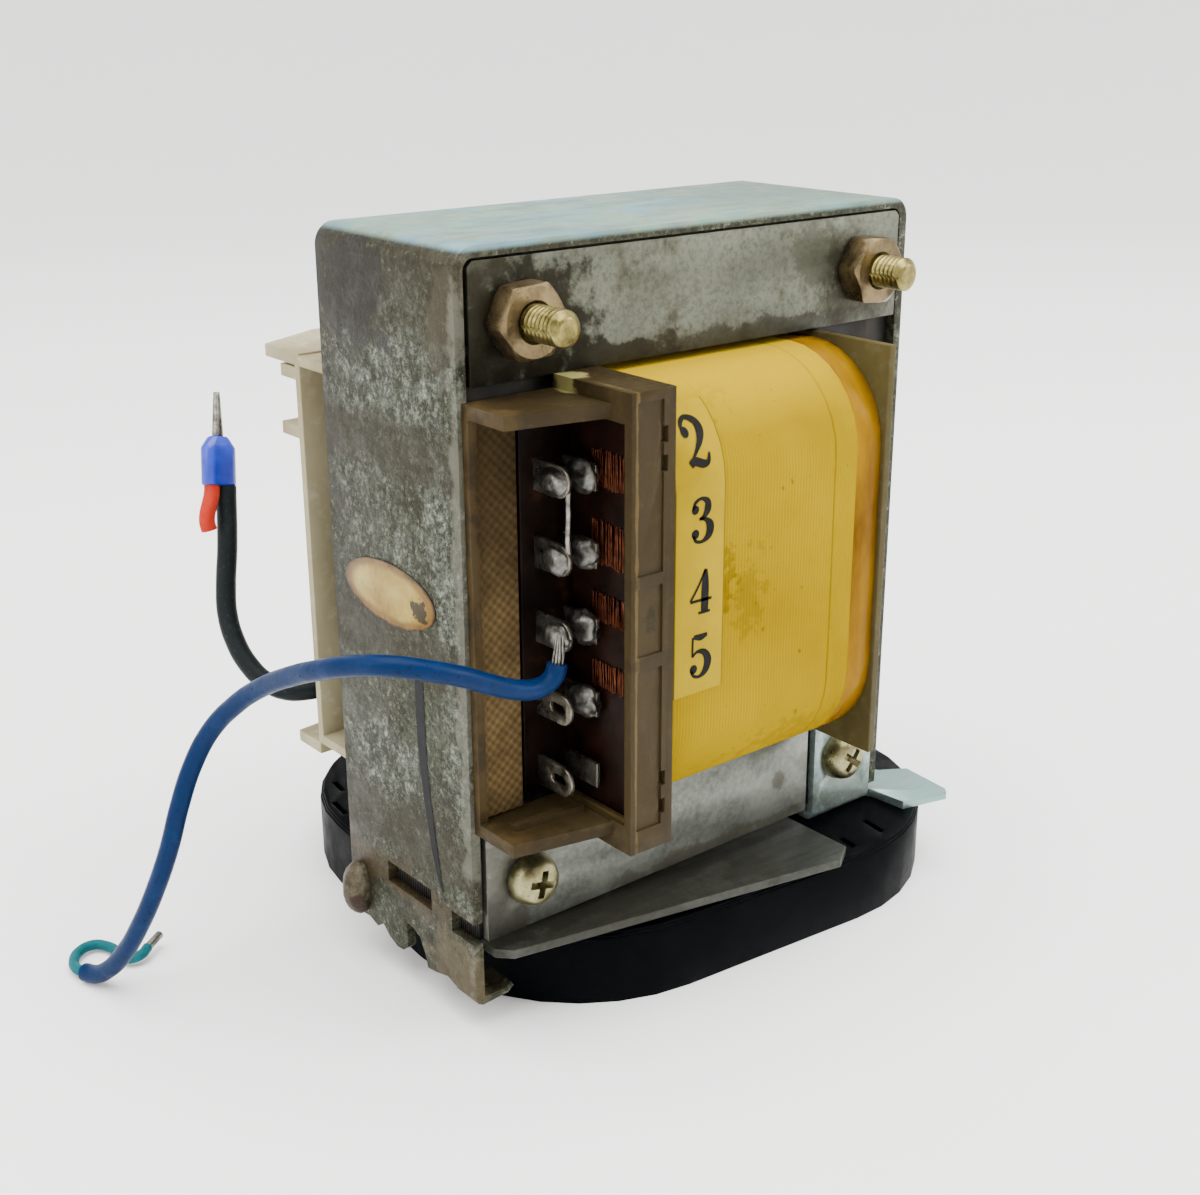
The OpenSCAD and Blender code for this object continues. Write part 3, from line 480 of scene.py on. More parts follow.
# ---- Outer tape, margin tape ----
# Clear yellow polyester film wound tightly over the last layer, so that its turns show as fine ribs
# round the coil. The film is scuffed brown in a few places, and its upper bend is painted brighter for
# the light from above. Darker amber film closes the right end.
yellow_film, tree, shader = pigment("yellow_polyester_film", (0.38, 0.25, 0.001), 0.4, Specular_IOR_Level=0.0)
hue = graded(tree, mottle(tree, 45, 4, 0.5), [(0.35, (0.2178, 0.1353, 0.0002)), (0.65, (0.2838, 0.1881, 0.0004))])
for centre, size, shade, amount, ragged in [
    ((-3.6, -31, 63), (2.6, 4, 4.8), (0.085, 0.058, 0.003), 0.36, 1.5),
    ((-9, -31, 66), (2.4, 4, 4), (0.0792, 0.0462, 0.0009), 0.5, 1.5),
    ((-17.4, -31, 66), (1.6, 4, 6), (0.033, 0.0198, 0.0012), 0.6, 1.1),
    ((-12, -25, 90), (6, 8, 2.4), (0.066, 0.0363, 0.0006), 0.4, 1.3),
    ((8, -31, 35), (16, 4, 5), (0.1584, 0.0924, 0.0006), 0.45, 0.8),
]:
    hue = layered(tree, reckoned(tree, "MULTIPLY", patch(tree, centre, size, ragged, 600), amount), hue, shade)
spots = graded(tree, mottle(tree, 620, 3, 0.5, (1, 1, 0.7)), [(0.70, 0.0), (0.73, 0.6)])
hue = layered(tree, spots, hue, (0.0594, 0.033, 0.0012))
place = tree.nodes.new("ShaderNodeTexCoord")
apart = tree.nodes.new("ShaderNodeSeparateXYZ")
tree.links.new(place.outputs["Object"], apart.inputs[0])
wander = reckoned(tree, "MULTIPLY", reckoned(tree, "SUBTRACT", mottle(tree, 30, 2), 0.5), 0.0006)
ribs = reckoned(tree, "PINGPONG", reckoned(tree, "ADD", apart.outputs["X"], wander), 0.00029)
rib_tone = reckoned(tree, "MULTIPLY", ribs, 1000, True)
hue = layered(tree, rib_tone, hue, (0.198, 0.1221, 0.0003))
# Painted light: the film on the upper bend is coloured brighter, as it is lit from above
painted_top_light = tree.nodes.new("ShaderNodeMapRange")
painted_top_light.inputs["From Min"].default_value, painted_top_light.inputs["From Max"].default_value = 0.0855, 0.0925
tree.links.new(apart.outputs["Z"], painted_top_light.inputs["Value"])
hue = layered(tree, reckoned(tree, "MULTIPLY", painted_top_light.outputs["Result"], 0.75), hue, (0.42, 0.275, 0.0005))
tree.links.new(hue, shader.inputs["Base Color"])
broad = raised(tree, None, mottle(tree, 90, 2, 0.5, (1, 0.15, 0.15)), 0.0010, 0.35)
# The film's outer turn ends in a step a few millimetres in from the margin
step = tree.nodes.new("ShaderNodeMapRange")
step.inputs["From Min"].default_value, step.inputs["From Max"].default_value = 0.0128, 0.0132
tree.links.new(reckoned(tree, "ADD", apart.outputs["X"], wander), step.inputs["Value"])
broad = raised(tree, None, step.outputs["Result"], 0.0004, 0.9, broad)
raised(tree, shader, reckoned(tree, "MULTIPLY", ribs, 3400), 0.00010, 0.35, broad)
rounded_off("outer_tape", "coil_tape", yellow_film, 0.00015)

amber_film, tree, shader = pigment("amber_margin_film", (0.22, 0.11, 0.0005), 0.26, Specular_IOR_Level=0.04)
hue = graded(tree, mottle(tree, 120, 5, 0.6, (1, 0.3, 0.3)),
             [(0.30, (0.0935, 0.0374, 0.0002)), (0.55, (0.231, 0.1155, 0.0004)), (0.75, (0.374, 0.22, 0.001))])
place = tree.nodes.new("ShaderNodeTexCoord")
apart = tree.nodes.new("ShaderNodeSeparateXYZ")
tree.links.new(place.outputs["Object"], apart.inputs[0])
deepen = tree.nodes.new("ShaderNodeMapRange")
deepen.inputs["From Min"].default_value, deepen.inputs["From Max"].default_value = 0.0200, 0.0226
tree.links.new(apart.outputs["X"], deepen.inputs["Value"])
hue = layered(tree, reckoned(tree, "MULTIPLY", deepen.outputs["Result"], 0.75), hue, (0.0495, 0.022, 0.0003))
tree.links.new(hue, shader.inputs["Base Color"])
raised(tree, shader, mottle(tree, 170, 3, 0.5, (1, 0.2, 0.2)), 0.0007, 0.6)
rounded_off("margin_film", "margin_tape", amber_film, 0.00015)
barrier = parts["winding_barrier"]
barrier.data.materials.clear()
barrier.data.materials.append(amber_film)

# ---- Number strip ----
# A strip of printed yellow tape down the coil beside the lugs, with the lug numbers in black. It
# lies flat on the coil and bends over its upper corner.
strip_paper, tree, shader = pigment("number_strip_tape", (0.42, 0.28, 0.004), 0.38, Specular_IOR_Level=0.02)
paper_tone = graded(tree, mottle(tree, 140, 5), [(0.3, (0.2508, 0.1666, 0.0009)), (0.7, (0.3168, 0.221, 0.0018))])
# The strip's own edge shows as a thin dark line
place = tree.nodes.new("ShaderNodeTexCoord")
apart = tree.nodes.new("ShaderNodeSeparateXYZ")
tree.links.new(place.outputs["Object"], apart.inputs[0])
off_x = reckoned(tree, "ABSOLUTE", reckoned(tree, "ADD", apart.outputs["X"], 0.013))
rim_line = reckoned(tree, "GREATER_THAN", off_x, 0.00432)
paper_tone = layered(tree, reckoned(tree, "MULTIPLY", rim_line, 0.8), paper_tone, (0.066, 0.0374, 0.0006))
tree.links.new(paper_tone, shader.inputs["Base Color"])
raised(tree, shader, mottle(tree, 400, 3), 0.0001, 0.3)
rounded_off("number_tape", "number_strip", strip_paper, 0.00003)

ink, tree, shader = pigment("black_ink", (0.002, 0.002, 0.002), 0.5, Specular_IOR_Level=0.08)
tree.links.new(graded(tree, mottle(tree, 900, 4), [(0.4, (0.0015, 0.0015, 0.0015)), (0.75, (0.006, 0.005, 0.003))]),
               shader.inputs["Base Color"])


def fat_stroke(shape, path, widths):
    """A pen stroke in the strip's plane: a ribbon along its path, each end rounded, in millimetres."""
    left, right = [], []
    for i, (x, y) in enumerate(path):
        before, after = Vector(path[max(i - 1, 0)]), Vector(path[min(i + 1, len(path) - 1)])
        way = (after - before).normalized()
        side = Vector((-way.y, way.x)) * widths[i] / 2
        left.append(shape.verts.new((x + side.x, y + side.y, 0)))
        right.append(shape.verts.new((x - side.x, y - side.y, 0)))
    for i in range(len(path) - 1):
        shape.faces.new((left[i], right[i], right[i + 1], left[i + 1]))


def dot(shape, x, y, r):
    bmesh.ops.create_circle(shape, cap_ends=True, segments=20, radius=r, matrix=Matrix.Translation((x, y, 0)))


def smooth_path(points, steps=8):
    """Points strung on a soft curve through the given ones."""
    out = []
    for i in range(len(points) - 1):
        a = points[max(i - 1, 0)]; b = points[i]; c = points[i + 1]; d = points[min(i + 2, len(points) - 1)]
        for k in range(steps):
            t = k / steps
            out.append(tuple(0.5 * (2 * b[j] + (c[j] - a[j]) * t + (2 * a[j] - 5 * b[j] + 4 * c[j] - d[j]) * t * t
                                    + (3 * b[j] - a[j] - 3 * c[j] + d[j]) * t ** 3) for j in range(len(b))))
    out.append(tuple(points[-1]))
    return out


def digit(shape, strokes, dots):
    for points in strokes:
        run = smooth_path(points)
        fat_stroke(shape, [p[:2] for p in run], [p[2] * 1.15 for p in run])
    for x, y, r in dots:
        dot(shape, x, y, r * 1.1)


# Each stroke is a list of places across, up and pen width on a digit 4 wide and 6 high
digits = {
    "2": ([[(0.55, 4.4, .35), (0.9, 5.4, .5), (1.9, 5.9, .45), (3.1, 5.3, .85), (3.35, 4.3, 1.1), (2.8, 3.1, .8),
            (1.5, 1.7, .4), (0.5, 0.6, .4)],
           [(0.4, 0.5, .8), (1.2, 0.85, .95), (2.4, 0.35, .95), (3.3, 0.45, .6), (3.75, 1.5, .25)]],
          [(0.95, 4.35, 0.58)]),
    "3": ([[(0.6, 4.6, .35), (1.0, 5.5, .45), (2.0, 5.85, .4), (2.95, 5.3, .8), (3.0, 4.3, 1.0), (2.4, 3.45, .6),
            (1.6, 3.2, .3)],
           [(1.6, 3.2, .3), (2.6, 3.0, .5), (3.35, 2.1, 1.1), (3.15, 0.9, 1.0), (2.1, 0.2, .45), (1.0, 0.4, .4),
            (0.55, 1.2, .35)]],
          [(0.95, 4.55, 0.55), (0.9, 1.35, 0.58)]),
    "4": ([[(2.75, 5.95, .3), (1.6, 3.8, .3), (0.3, 1.95, .35)],
           [(0.3, 1.85, .35), (2.0, 1.85, .35), (3.9, 1.85, .35)],
           [(2.75, 5.9, .5), (2.75, 4.0, 1.05), (2.75, 2.0, 1.1), (2.75, 0.3, 1.05)],
           [(1.7, 0.15, .3), (2.75, 0.15, .35), (3.7, 0.15, .3)]], []),
    "5": ([[(1.0, 5.8, .5), (2.2, 5.55, .8), (3.3, 5.75, .45)],
           [(0.85, 5.8, .3), (0.8, 4.4, .3), (0.75, 3.1, .3)],
           [(0.75, 3.1, .3), (1.6, 3.65, .4), (2.8, 3.3, .8), (3.4, 2.1, 1.1), (3.0, 0.8, .95), (2.0, 0.15, .45),
            (1.0, 0.4, .4), (0.55, 1.2, .35)]],
          [(0.95, 1.35, 0.58)]),
}
coil_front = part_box("number_strip")[0].y
numbers = bmesh.new()
for name, x, z, lean in (("2", -12.9, 85.7, 3), ("3", -12.8, 75.3, 2), ("4", -12.8, 65.2, -1), ("5", -12.8, 55.9, 1)):
    one = bmesh.new()
    digit(one, *digits[name])
    bmesh.ops.translate(one, verts=one.verts, vec=(-2, -3, 0))
    bmesh.ops.scale(one, verts=one.verts, vec=(1.08, 1.06, 1))
    bmesh.ops.rotate(one, verts=one.verts, cent=(0, 0, 0), matrix=Matrix.Rotation(math.radians(lean), 3, "Z"))
    bmesh.ops.rotate(one, verts=one.verts, cent=(0, 0, 0), matrix=Matrix.Rotation(math.radians(90), 3, "X"))
    bmesh.ops.translate(one, verts=one.verts, vec=(x, 0, z))
    loose = bpy.data.meshes.new("one_digit")
    one.to_mesh(loose)
    one.free()
    numbers.from_mesh(loose)
    bpy.data.meshes.remove(loose)
# The digits follow the strip over the coil's upper bend
bend_z, bend_r = 62.5 + 30.9 - 14, 14.15
for vert in numbers.verts:
    over = max(vert.co.z - bend_z, 0)
    drop = bend_r - math.sqrt(max(bend_r ** 2 - over ** 2, 0.01))
    vert.co = Vector((vert.co.x / 1000, coil_front - 0.00005 + drop / 1000, vert.co.z / 1000))
bmesh.ops.recalc_face_normals(numbers, faces=numbers.faces)
digit_mesh = bpy.data.meshes.new("strip_digits")
numbers.to_mesh(digit_mesh)
numbers.free()
digit_mesh.materials.append(ink)
strip_digits = bpy.data.objects.new("strip_digits", digit_mesh)
bpy.context.scene.collection.objects.link(strip_digits)
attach(strip_digits, "root")


# ---- Clamp plates ----
# Zinc-plated strips across the yokes. The upper ones have dulled to brown-grey, darkest round the
# left nut and along the edges; the lower one is still bright.
def aged_zinc_finish(name, tone, grime, bloom, stains_and_shade=(), bloom_from=0.60, grime_from=0.50):
    """Old zinc plate: grey metal, brown film, and crusts of white oxide that stand a little proud."""
    mat, tree, shader = pigment(name, tone, 0.5, 0.4, Specular_IOR_Level=0.2)
    base = graded(tree, mottle(tree, 60, 7, 0.62), [(0.30, tuple(c * 0.55 for c in tone)), (0.55, tone),
                                                   (0.75, tuple(min(c * 1.35, 1) for c in tone))])
    film = graded(tree, mottle(tree, 150, 7, 0.7, (1, 1, 0.8)), [(grime_from, 0.0), (grime_from + 0.16, 0.85)])
    color = layered(tree, film, base, grime)
    fine = graded(tree, mottle(tree, 1100, 5, 0.75), [(0.45, 0.0), (0.72, 0.6)])
    color = layered(tree, fine, color, tuple(c * 0.5 for c in grime))
    crust = graded(tree, mottle(tree, 210, 8, 0.75, (1, 1, 1), 0.6, (3, 1, 2)),
                   [(bloom_from, 0.0), (bloom_from + 0.10, 0.9)])
    for centre, size, shade, amount, ragged in stains_and_shade:
        mask = reckoned(tree, "MULTIPLY", patch(tree, centre, size, ragged), amount)
        color = layered(tree, mask, color, shade)
    color = layered(tree, crust, color, bloom)
    tree.links.new(color, shader.inputs["Base Color"])
    tree.links.new(reckoned(tree, "SUBTRACT", 0.85, crust, True), shader.inputs["Metallic"])
    tree.links.new(graded(tree, mottle(tree, 240, 6, 0.7), [(0.30, 0.36), (0.70, 0.72)]), shader.inputs["Roughness"])
    pits = raised(tree, None, mottle(tree, 1600, 5, 0.7), 0.00012, 0.6)
    raised(tree, shader, crust, 0.00012, 0.7, pits)
    return mat


plate_zinc = aged_zinc_finish("upper_plate_zinc", (0.1254, 0.132, 0.0999), (0.0456, 0.0416, 0.0244),
                              (0.152, 0.164, 0.1369), [
    ((-32, -16.5, 101), (11.5, 4, 9.5), (0.0106, 0.0088, 0.0044), 0.92, 0.6),
    ((-18, -16.5, 95.2), (14, 4, 2.4), (0.0122, 0.0104, 0.0059), 0.9, 0.8),
    ((-39, -16.5, 108), (6, 4, 6), (0.0266, 0.024, 0.0148), 0.7, 0.9),
    ((31, -16.5, 97), (10, 4, 4.4), (0.0342, 0.0296, 0.0163), 0.7, 0.8),
    ((22, -16.5, 105), (5, 4, 5), (0.0456, 0.044, 0.0281), 0.6, 0.9),
    ((8, -16.5, 95.4), (32, 4, 1.8), (0.0228, 0.02, 0.0118), 0.75, 0.9),
], 0.66, 0.52)
for node in ("top_front_plate", "top_back_plate"):
    rounded_off(node.replace("plate", "strip"), node, plate_zinc, 0.00012)
low_plate_zinc = bright_zinc_finish("lower_plate_zinc", (0.130, 0.138, 0.118), [
    ((18.5, -16.5, 21.9), (1.5, 3, 1.7), (0.035, 0.028, 0.018), 0.75, 0.5),
    ((-36, -16.5, 20), (5, 4, 12), (0.035, 0.028, 0.018), 0.6, 0.8),
    ((2, -16.5, 15), (20, 4, 1.6), (0.050, 0.040, 0.022), 0.6, 0.9),
])
for node in ("bottom_front_plate", "bottom_back_plate"):
    rounded_off(node.replace("plate", "strip"), node, low_plate_zinc, 0.00012)

# ---- Cover ----
# One strip of zinc-plated steel bent over the core. Its walls have aged to mottled grey and brown
# with bands of white oxide, while the top keeps a thin bluish, slightly iridescent passivation.
cover_zinc, tree, shader = pigment("cover_zinc", (0.048, 0.0512, 0.0364), 0.5, 0.35, Specular_IOR_Level=0.2)
place = tree.nodes.new("ShaderNodeTexCoord")
apart = tree.nodes.new("ShaderNodeSeparateXYZ")
tree.links.new(place.outputs["Object"], apart.inputs[0])
grey = graded(tree, mottle(tree, 48, 8, 0.66), [(0.28, (0.0188, 0.0193, 0.0103)), (0.46, (0.0364, 0.0391, 0.0224)),
                                              (0.60, (0.0541, 0.0602, 0.0367)), (0.74, (0.0745, 0.0842, 0.0546))])
brown = graded(tree, mottle(tree, 120, 8, 0.72), [(0.48, 0.0), (0.62, 0.85)])
wall = layered(tree, brown, grey, (0.0221, 0.0186, 0.0076))
# White oxide in drifts
white = graded(tree, mottle(tree, 420, 9, 0.8, (1, 1, 1), 0, (1, 2, 0)), [(0.46, 0.0), (0.58, 1.0)])
drift = None
for centre, size, amount in (
    ((-41.7, -3, 93), (6, 10, 8), 0.9), ((-41.7, -12, 73), (6, 4, 14), 0.95), ((-41.7, 6, 92), (6, 7, 9), 0.7),
    ((-41.7, 4, 36), (6, 9, 6), 1.0), ((-41.7, -8, 66), (6, 7, 7), 0.7), ((-41.7, -14, 45), (6, 3, 20), 0.7),
    ((-41.7, 8, 73), (6, 7, 10), 0.45), ((-41.7, 9, 24), (6, 5, 5), 0.5),
):
    one = reckoned(tree, "MULTIPLY", patch(tree, centre, size, 0.9, 160, 1.0), amount)
    drift = one if drift is None else reckoned(tree, "MAXIMUM", drift, one)
bloom = reckoned(tree, "MULTIPLY", drift, white)
wall = layered(tree, bloom, wall, (0.2392, 0.2679, 0.208))
# Fine dark pits and pale grains all over
grain = graded(tree, mottle(tree, 1050, 5, 0.9), [(0.44, 0.0), (0.53, 0.85)])
wall = layered(tree, grain, wall, (0.0092, 0.0085, 0.004))
pale = graded(tree, mottle(tree, 820, 5, 0.9, (1, 1, 1), 0, (4, 0, 0)), [(0.56, 0.0), (0.64, 0.85)])
wall = layered(tree, pale, wall, (0.184, 0.1927, 0.132))
# Brown bands across the left wall where the sheet stood against other things
for height, depth, amount in ((84, 3.6, 0.66), (55.5, 3.4, 0.6), (26, 4.2, 0.62), (106, 7, 0.55)):
    band = patch(tree, (-41.7, 0, height), (30, 60, depth), 0.35, 110, 0.9)
    wall = layered(tree, reckoned(tree, "MULTIPLY", band, amount), wall, (0.024, 0.019, 0.0095))
for centre, size, shade, amount in (
    ((-41.7, 8, 105), (6, 9, 7), (0.0092, 0.0075, 0.0048), 0.85),
    ((-41.7, -14, 104), (6, 4, 7), (0.046, 0.0395, 0.024), 0.6),
    ((-41.7, 2, 17), (6, 16, 3), (0.0414, 0.0263, 0.0096), 0.7),
    ((-41.7, -12, 8), (8, 7, 5), (0.069, 0.0517, 0.024), 0.7),
    ((-41.7, -16, 62), (6, 1.6, 40), (0.138, 0.1363, 0.104), 0.5),
):
    wall = layered(tree, reckoned(tree, "MULTIPLY", patch(tree, centre, size, 0.8, 200), amount), wall, shade)
# Top: paler, cool, with faint rainbow clouds
rainbow = graded(tree, mottle(tree, 34, 5, 0.55, (1, 1.6, 1), 0.8), [
    (0.30, (0.133, 0.2268, 0.258)), (0.44, (0.161, 0.2772, 0.2322)), (0.52, (0.21, 0.2688, 0.1978)),
    (0.60, (0.14, 0.252, 0.2838)),
    (0.72, (0.217, 0.3192, 0.3182))])
smear = graded(tree, mottle(tree, 300, 6, 0.7, (0.35, 1, 1)), [(0.46, 0.0), (0.70, 0.7)])
# The top is coloured darker towards its right and back
darker_right_back = reckoned(tree, "MULTIPLY", patch(tree, (34, 4, 112), (22, 20, 4), 0.5, 60, 1.2), 0.6)
rainbow = layered(tree, darker_right_back, rainbow, (0.10, 0.13, 0.11))
roof = layered(tree, smear, rainbow, (0.084, 0.126, 0.1161))
rise = tree.nodes.new("ShaderNodeMapRange")
rise.interpolation_type = "SMOOTHSTEP"
rise.inputs["From Min"].default_value, rise.inputs["From Max"].default_value = 0.1112, 0.1120
tree.links.new(apart.outputs["Z"], rise.inputs["Value"])
tree.links.new(layered(tree, rise.outputs["Result"], wall, roof), shader.inputs["Base Color"])
crusted = reckoned(tree, "MULTIPLY", bloom, reckoned(tree, "SUBTRACT", 1.0, rise.outputs["Result"]))
tree.links.new(reckoned(tree, "SUBTRACT", 0.42, crusted, True), shader.inputs["Metallic"])
tree.links.new(graded(tree, mottle(tree, 200, 6, 0.7), [(0.30, 0.38), (0.70, 0.70)]), shader.inputs["Roughness"])
pits = raised(tree, None, mottle(tree, 1300, 6, 0.75), 0.00016, 0.7)
raised(tree, shader, crusted, 0.00015, 0.8, pits)
rounded_off("bent_cover", "cover_strap", cover_zinc, 0.00022)

# ---- Hammered lug ----
# The end of a rivet or tag, hammered into a lump at the back of the left foot and browned by rust.
lump_steel, tree, shader = pigment("rusty_lump_steel", (0.08, 0.07, 0.045), 0.5, 0.4, Specular_IOR_Level=0.3)
lump_tone = graded(tree, mottle(tree, 420, 6, 0.7), [(0.32, (0.022, 0.015, 0.007)), (0.52, (0.075, 0.063, 0.036)),
                                                    (0.70, (0.16, 0.155, 0.125))])
rust = reckoned(tree, "MULTIPLY", patch(tree, (-44, 12, 8.5), (4, 2.6, 2.6), 0.6, 400), 0.85)
tree.links.new(layered(tree, rust, lump_tone, (0.022, 0.009, 0.004)), shader.inputs["Base Color"])
raised(tree, shader, mottle(tree, 500, 5, 0.7), 0.0003, 0.8)
low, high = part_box("leg_rivet")
middle = (low + high) / 2
lump = bmesh.new()
bmesh.ops.create_icosphere(lump, subdivisions=4, radius=1)
for vert in lump.verts:
    bulge = 1 + 0.07 * noise.noise(vert.co * 1.8) + 0.03 * noise.noise(vert.co * 6)
    vert.co = Vector((vert.co.x * 2.5, vert.co.y * 2.45, vert.co.z * 4.45)) * bulge
    vert.co = vert.co / 1000 + Vector((low.x + 0.0026, middle.y, middle.z))
    vert.co.x = min(max(vert.co.x, low.x), high.x)
lump_mesh = bpy.data.meshes.new("hammered_lump")
for face in lump.faces:
    face.smooth = True
lump.to_mesh(lump_mesh)
lump.free()
lump_mesh.materials.append(lump_steel)
leg_lump = bpy.data.objects.new("hammered_lump", lump_mesh)
bpy.context.scene.collection.objects.link(leg_lump)
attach(leg_lump, "root")
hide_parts("leg_rivet")

# ---- Oval sticker ----
# A small paper seal with no print, varnished, yellowed and cracked, its border a darker ring.
seal_paper, tree, shader = pigment("sticker_paper", (0.25, 0.17, 0.06), 0.3, Specular_IOR_Level=0.12)
ring = patch(tree, (-41.8, 1.53, 62.7), (30, 9.3, 3.5), 0.10, 300, 0.28)
outline = patch(tree, (-41.8, 1.53, 62.7), (30, 11.1, 4.35), 0.04, 500, 0.08)
body = graded(tree, mottle(tree, 170, 6, 0.6), [(0.30, (0.172, 0.0991, 0.0121)), (0.52, (0.2838, 0.1974, 0.0385)),
                                               (0.72, (0.3784, 0.3024, 0.0853))])
rim = graded(tree, mottle(tree, 300, 5), [(0.35, (0.085, 0.040, 0.006)), (0.7, (0.18, 0.10, 0.022))])
face_color = layered(tree, ring, rim, body)
face_color = layered(tree, outline, (0.020, 0.010, 0.003), face_color)
crack = graded(tree, mottle(tree, 500, 8, 0.8, (1, 1, 0.5), 1.5), [(0.60, 0.0), (0.64, 0.8)])
face_color = layered(tree, crack, face_color, (0.05, 0.022, 0.006))
worn = patch(tree, (-41.8, -6.2, 62.4), (30, 2.0, 1.6), 0.9, 700, 0.15)
face_color = layered(tree, reckoned(tree, "MULTIPLY", worn, 0.9), face_color, (0.012, 0.010, 0.007))
tree.links.new(face_color, shader.inputs["Base Color"])
raised(tree, shader, mottle(tree, 260, 5), 0.0002, 0.5)
rounded_off("oval_seal", "side_sticker", seal_paper, 0.00005)

# ---- Marker line ----
# A line drawn down the left wall in black marker, worn thin in places.
marker, tree, shader = pigment("worn_marker", (0.006, 0.006, 0.008), 0.5, Specular_IOR_Level=0.1)
tree.links.new(graded(tree, mottle(tree, 700, 5, 0.7), [(0.50, (0.003, 0.003, 0.0045)), (0.70, (0.010, 0.010, 0.010)),
                                                       (0.86, (0.05, 0.045, 0.035))]), shader.inputs["Base Color"])
line = bmesh.new()
run = smooth_path([(-5.0, 51.5, 1.5), (-5.0, 47, 1.6), (-5.2, 41, 1.5), (-6.0, 33.5, 1.35), (-7.2, 26.5, 1.1),
                   (-8.3, 22, 0.7), (-9.0, 20, 0.25)], 6)
fat_stroke(line, [p[:2] for p in run], [p[2] * 1.35 for p in run])
wall_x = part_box("side_sticker")[0].x
for vert in line.verts:
    vert.co = Vector((wall_x + 0.00008, vert.co.x / 1000, vert.co.y / 1000))
bmesh.ops.reverse_faces(line, faces=line.faces)
line_mesh = bpy.data.meshes.new("marker_line")
line.to_mesh(line_mesh)
line.free()
line_mesh.materials.append(marker)
marker_line = bpy.data.objects.new("marker_line", line_mesh)
bpy.context.scene.collection.objects.link(marker_line)
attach(marker_line, "root")


# ---- Bolts, nuts and screws ----
# Yellow-passivated steel: threaded bolts through the upper yoke with rolled threads, hex nuts with turned
# chamfers, and cross-recess pan screws through the lower yoke.
def passivated_finish(name, tone, dull, metal=0.95):
    mat, tree, shader = pigment(name, tone, 0.32, metal)
    bright = tuple(min(c * 1.3, 1) for c in tone)
    cast = graded(tree, mottle(tree, 260, 6, 0.65), [(0.32, dull), (0.58, tone), (0.76, bright)])
    specks = graded(tree, mottle(tree, 1500, 4, 0.6), [(0.55, 0.0), (0.72, 0.55)])
    tree.links.new(layered(tree, specks, cast, tuple(c * 0.4 for c in dull)), shader.inputs["Base Color"])
    tree.links.new(graded(tree, mottle(tree, 500, 4), [(0.3, 0.24), (0.7, 0.46)]), shader.inputs["Roughness"])
    raised(tree, shader, mottle(tree, 1500, 3), 0.00006, 0.5)
    return mat


bolt_gold = passivated_finish("bolt_passivation", (0.26, 0.215, 0.070), (0.060, 0.048, 0.013))
nut_bronze = passivated_finish("nut_passivation", (0.165, 0.120, 0.058), (0.045, 0.030, 0.014), 0.9)
screw_gold = passivated_finish("screw_passivation", (0.30, 0.275, 0.145), (0.085, 0.072, 0.030))


def carried(name, shape, mat, slot, *nodes):
    """A finished mesh as a piece on the part."""
    mesh = bpy.data.meshes.new(name)
    shape.to_mesh(mesh)
    shape.free()
    mesh.materials.append(mat)
    piece = bpy.data.objects.new(name, mesh)
    bpy.context.scene.collection.objects.link(piece)
    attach(piece, "root")
    if nodes:
        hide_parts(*nodes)
    return piece


def turned(shape, profile, axis_x, axis_z, sides=40, crease=35):
    """A lathe-turned solid round a line parallel to Y; the profile is (radius, y) in millimetres."""
    ring = [shape.verts.new((axis_x + r, y, axis_z)) for r, y in profile]
    edges = [shape.edges.new((a, b)) for a, b in zip(ring, ring[1:])]
    made = bmesh.ops.spin(shape, geom=ring + edges, cent=(axis_x, 0, axis_z), axis=(0, 1, 0),
                          angle=2 * math.pi, steps=sides, use_merge=True)
    bmesh.ops.remove_doubles(shape, verts=shape.verts, dist=0.0004)
    return made


bolts = bmesh.new()
bolt_low, bolt_high = (c * 1000 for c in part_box("top_bolts"))
for hole, tip_y in ((-32, bolt_low.y), (32, bolt_low.y + 1.1)):
    # Thread: a stack of rounded crests, slightly slanted so that they read as one helix
    one = bmesh.new()
    pitch, r = 0.8, 2.4
    profile = [(0.0, tip_y), (1.35, tip_y), (1.75, tip_y + 0.35)]
    y = tip_y + 0.5
    while y < -16.9:
        profile += [(r - 0.42, y), (r, y + 0.3), (r, y + 0.5)]
        y += pitch
    profile += [(r - 0.2, -16.4), (r - 0.2, bolt_high.y - 3.4), (0.0, bolt_high.y - 3.4)]
    turned(one, profile, hole, 102.5, 36)
    for vert in one.verts:
        if tip_y + 0.45 < vert.co.y < -17:
            angle = math.atan2(vert.co.z - 102.5, vert.co.x - hole)
            vert.co.y += pitch * (angle / (2 * math.pi))
    spare = bpy.data.meshes.new("one_bolt")
    one.to_mesh(spare)
    one.free()
    bolts.from_mesh(spare)
    bpy.data.meshes.remove(spare)
    # Forged head at the back, its six flats and a turned crown
    head = bmesh.new()
    bmesh.ops.create_cone(head, cap_ends=True, segments=6, radius1=5.42, radius2=5.42, depth=3.4,
                          matrix=Matrix.Translation((hole, bolt_high.y - 1.7, 102.5))
                          @ Matrix.Rotation(math.radians(90), 4, "X"))
    bmesh.ops.bevel(head, geom=list(head.edges), offset=0.35, segments=2, profile=0.5, affect="EDGES", material=-1)
    head.to_mesh(spare := bpy.data.meshes.new("one_head"))
    head.free()
    bolts.from_mesh(spare)
    bpy.data.meshes.remove(spare)
bmesh.ops.recalc_face_normals(bolts, faces=bolts.faces)
bmesh.ops.scale(bolts, verts=bolts.verts, vec=(0.001, 0.001, 0.001))
for face in bolts.faces:
    face.smooth = len(face.verts) == 4
carried("top_through_bolts", bolts, bolt_gold, "yellow_passivated", "top_bolts")


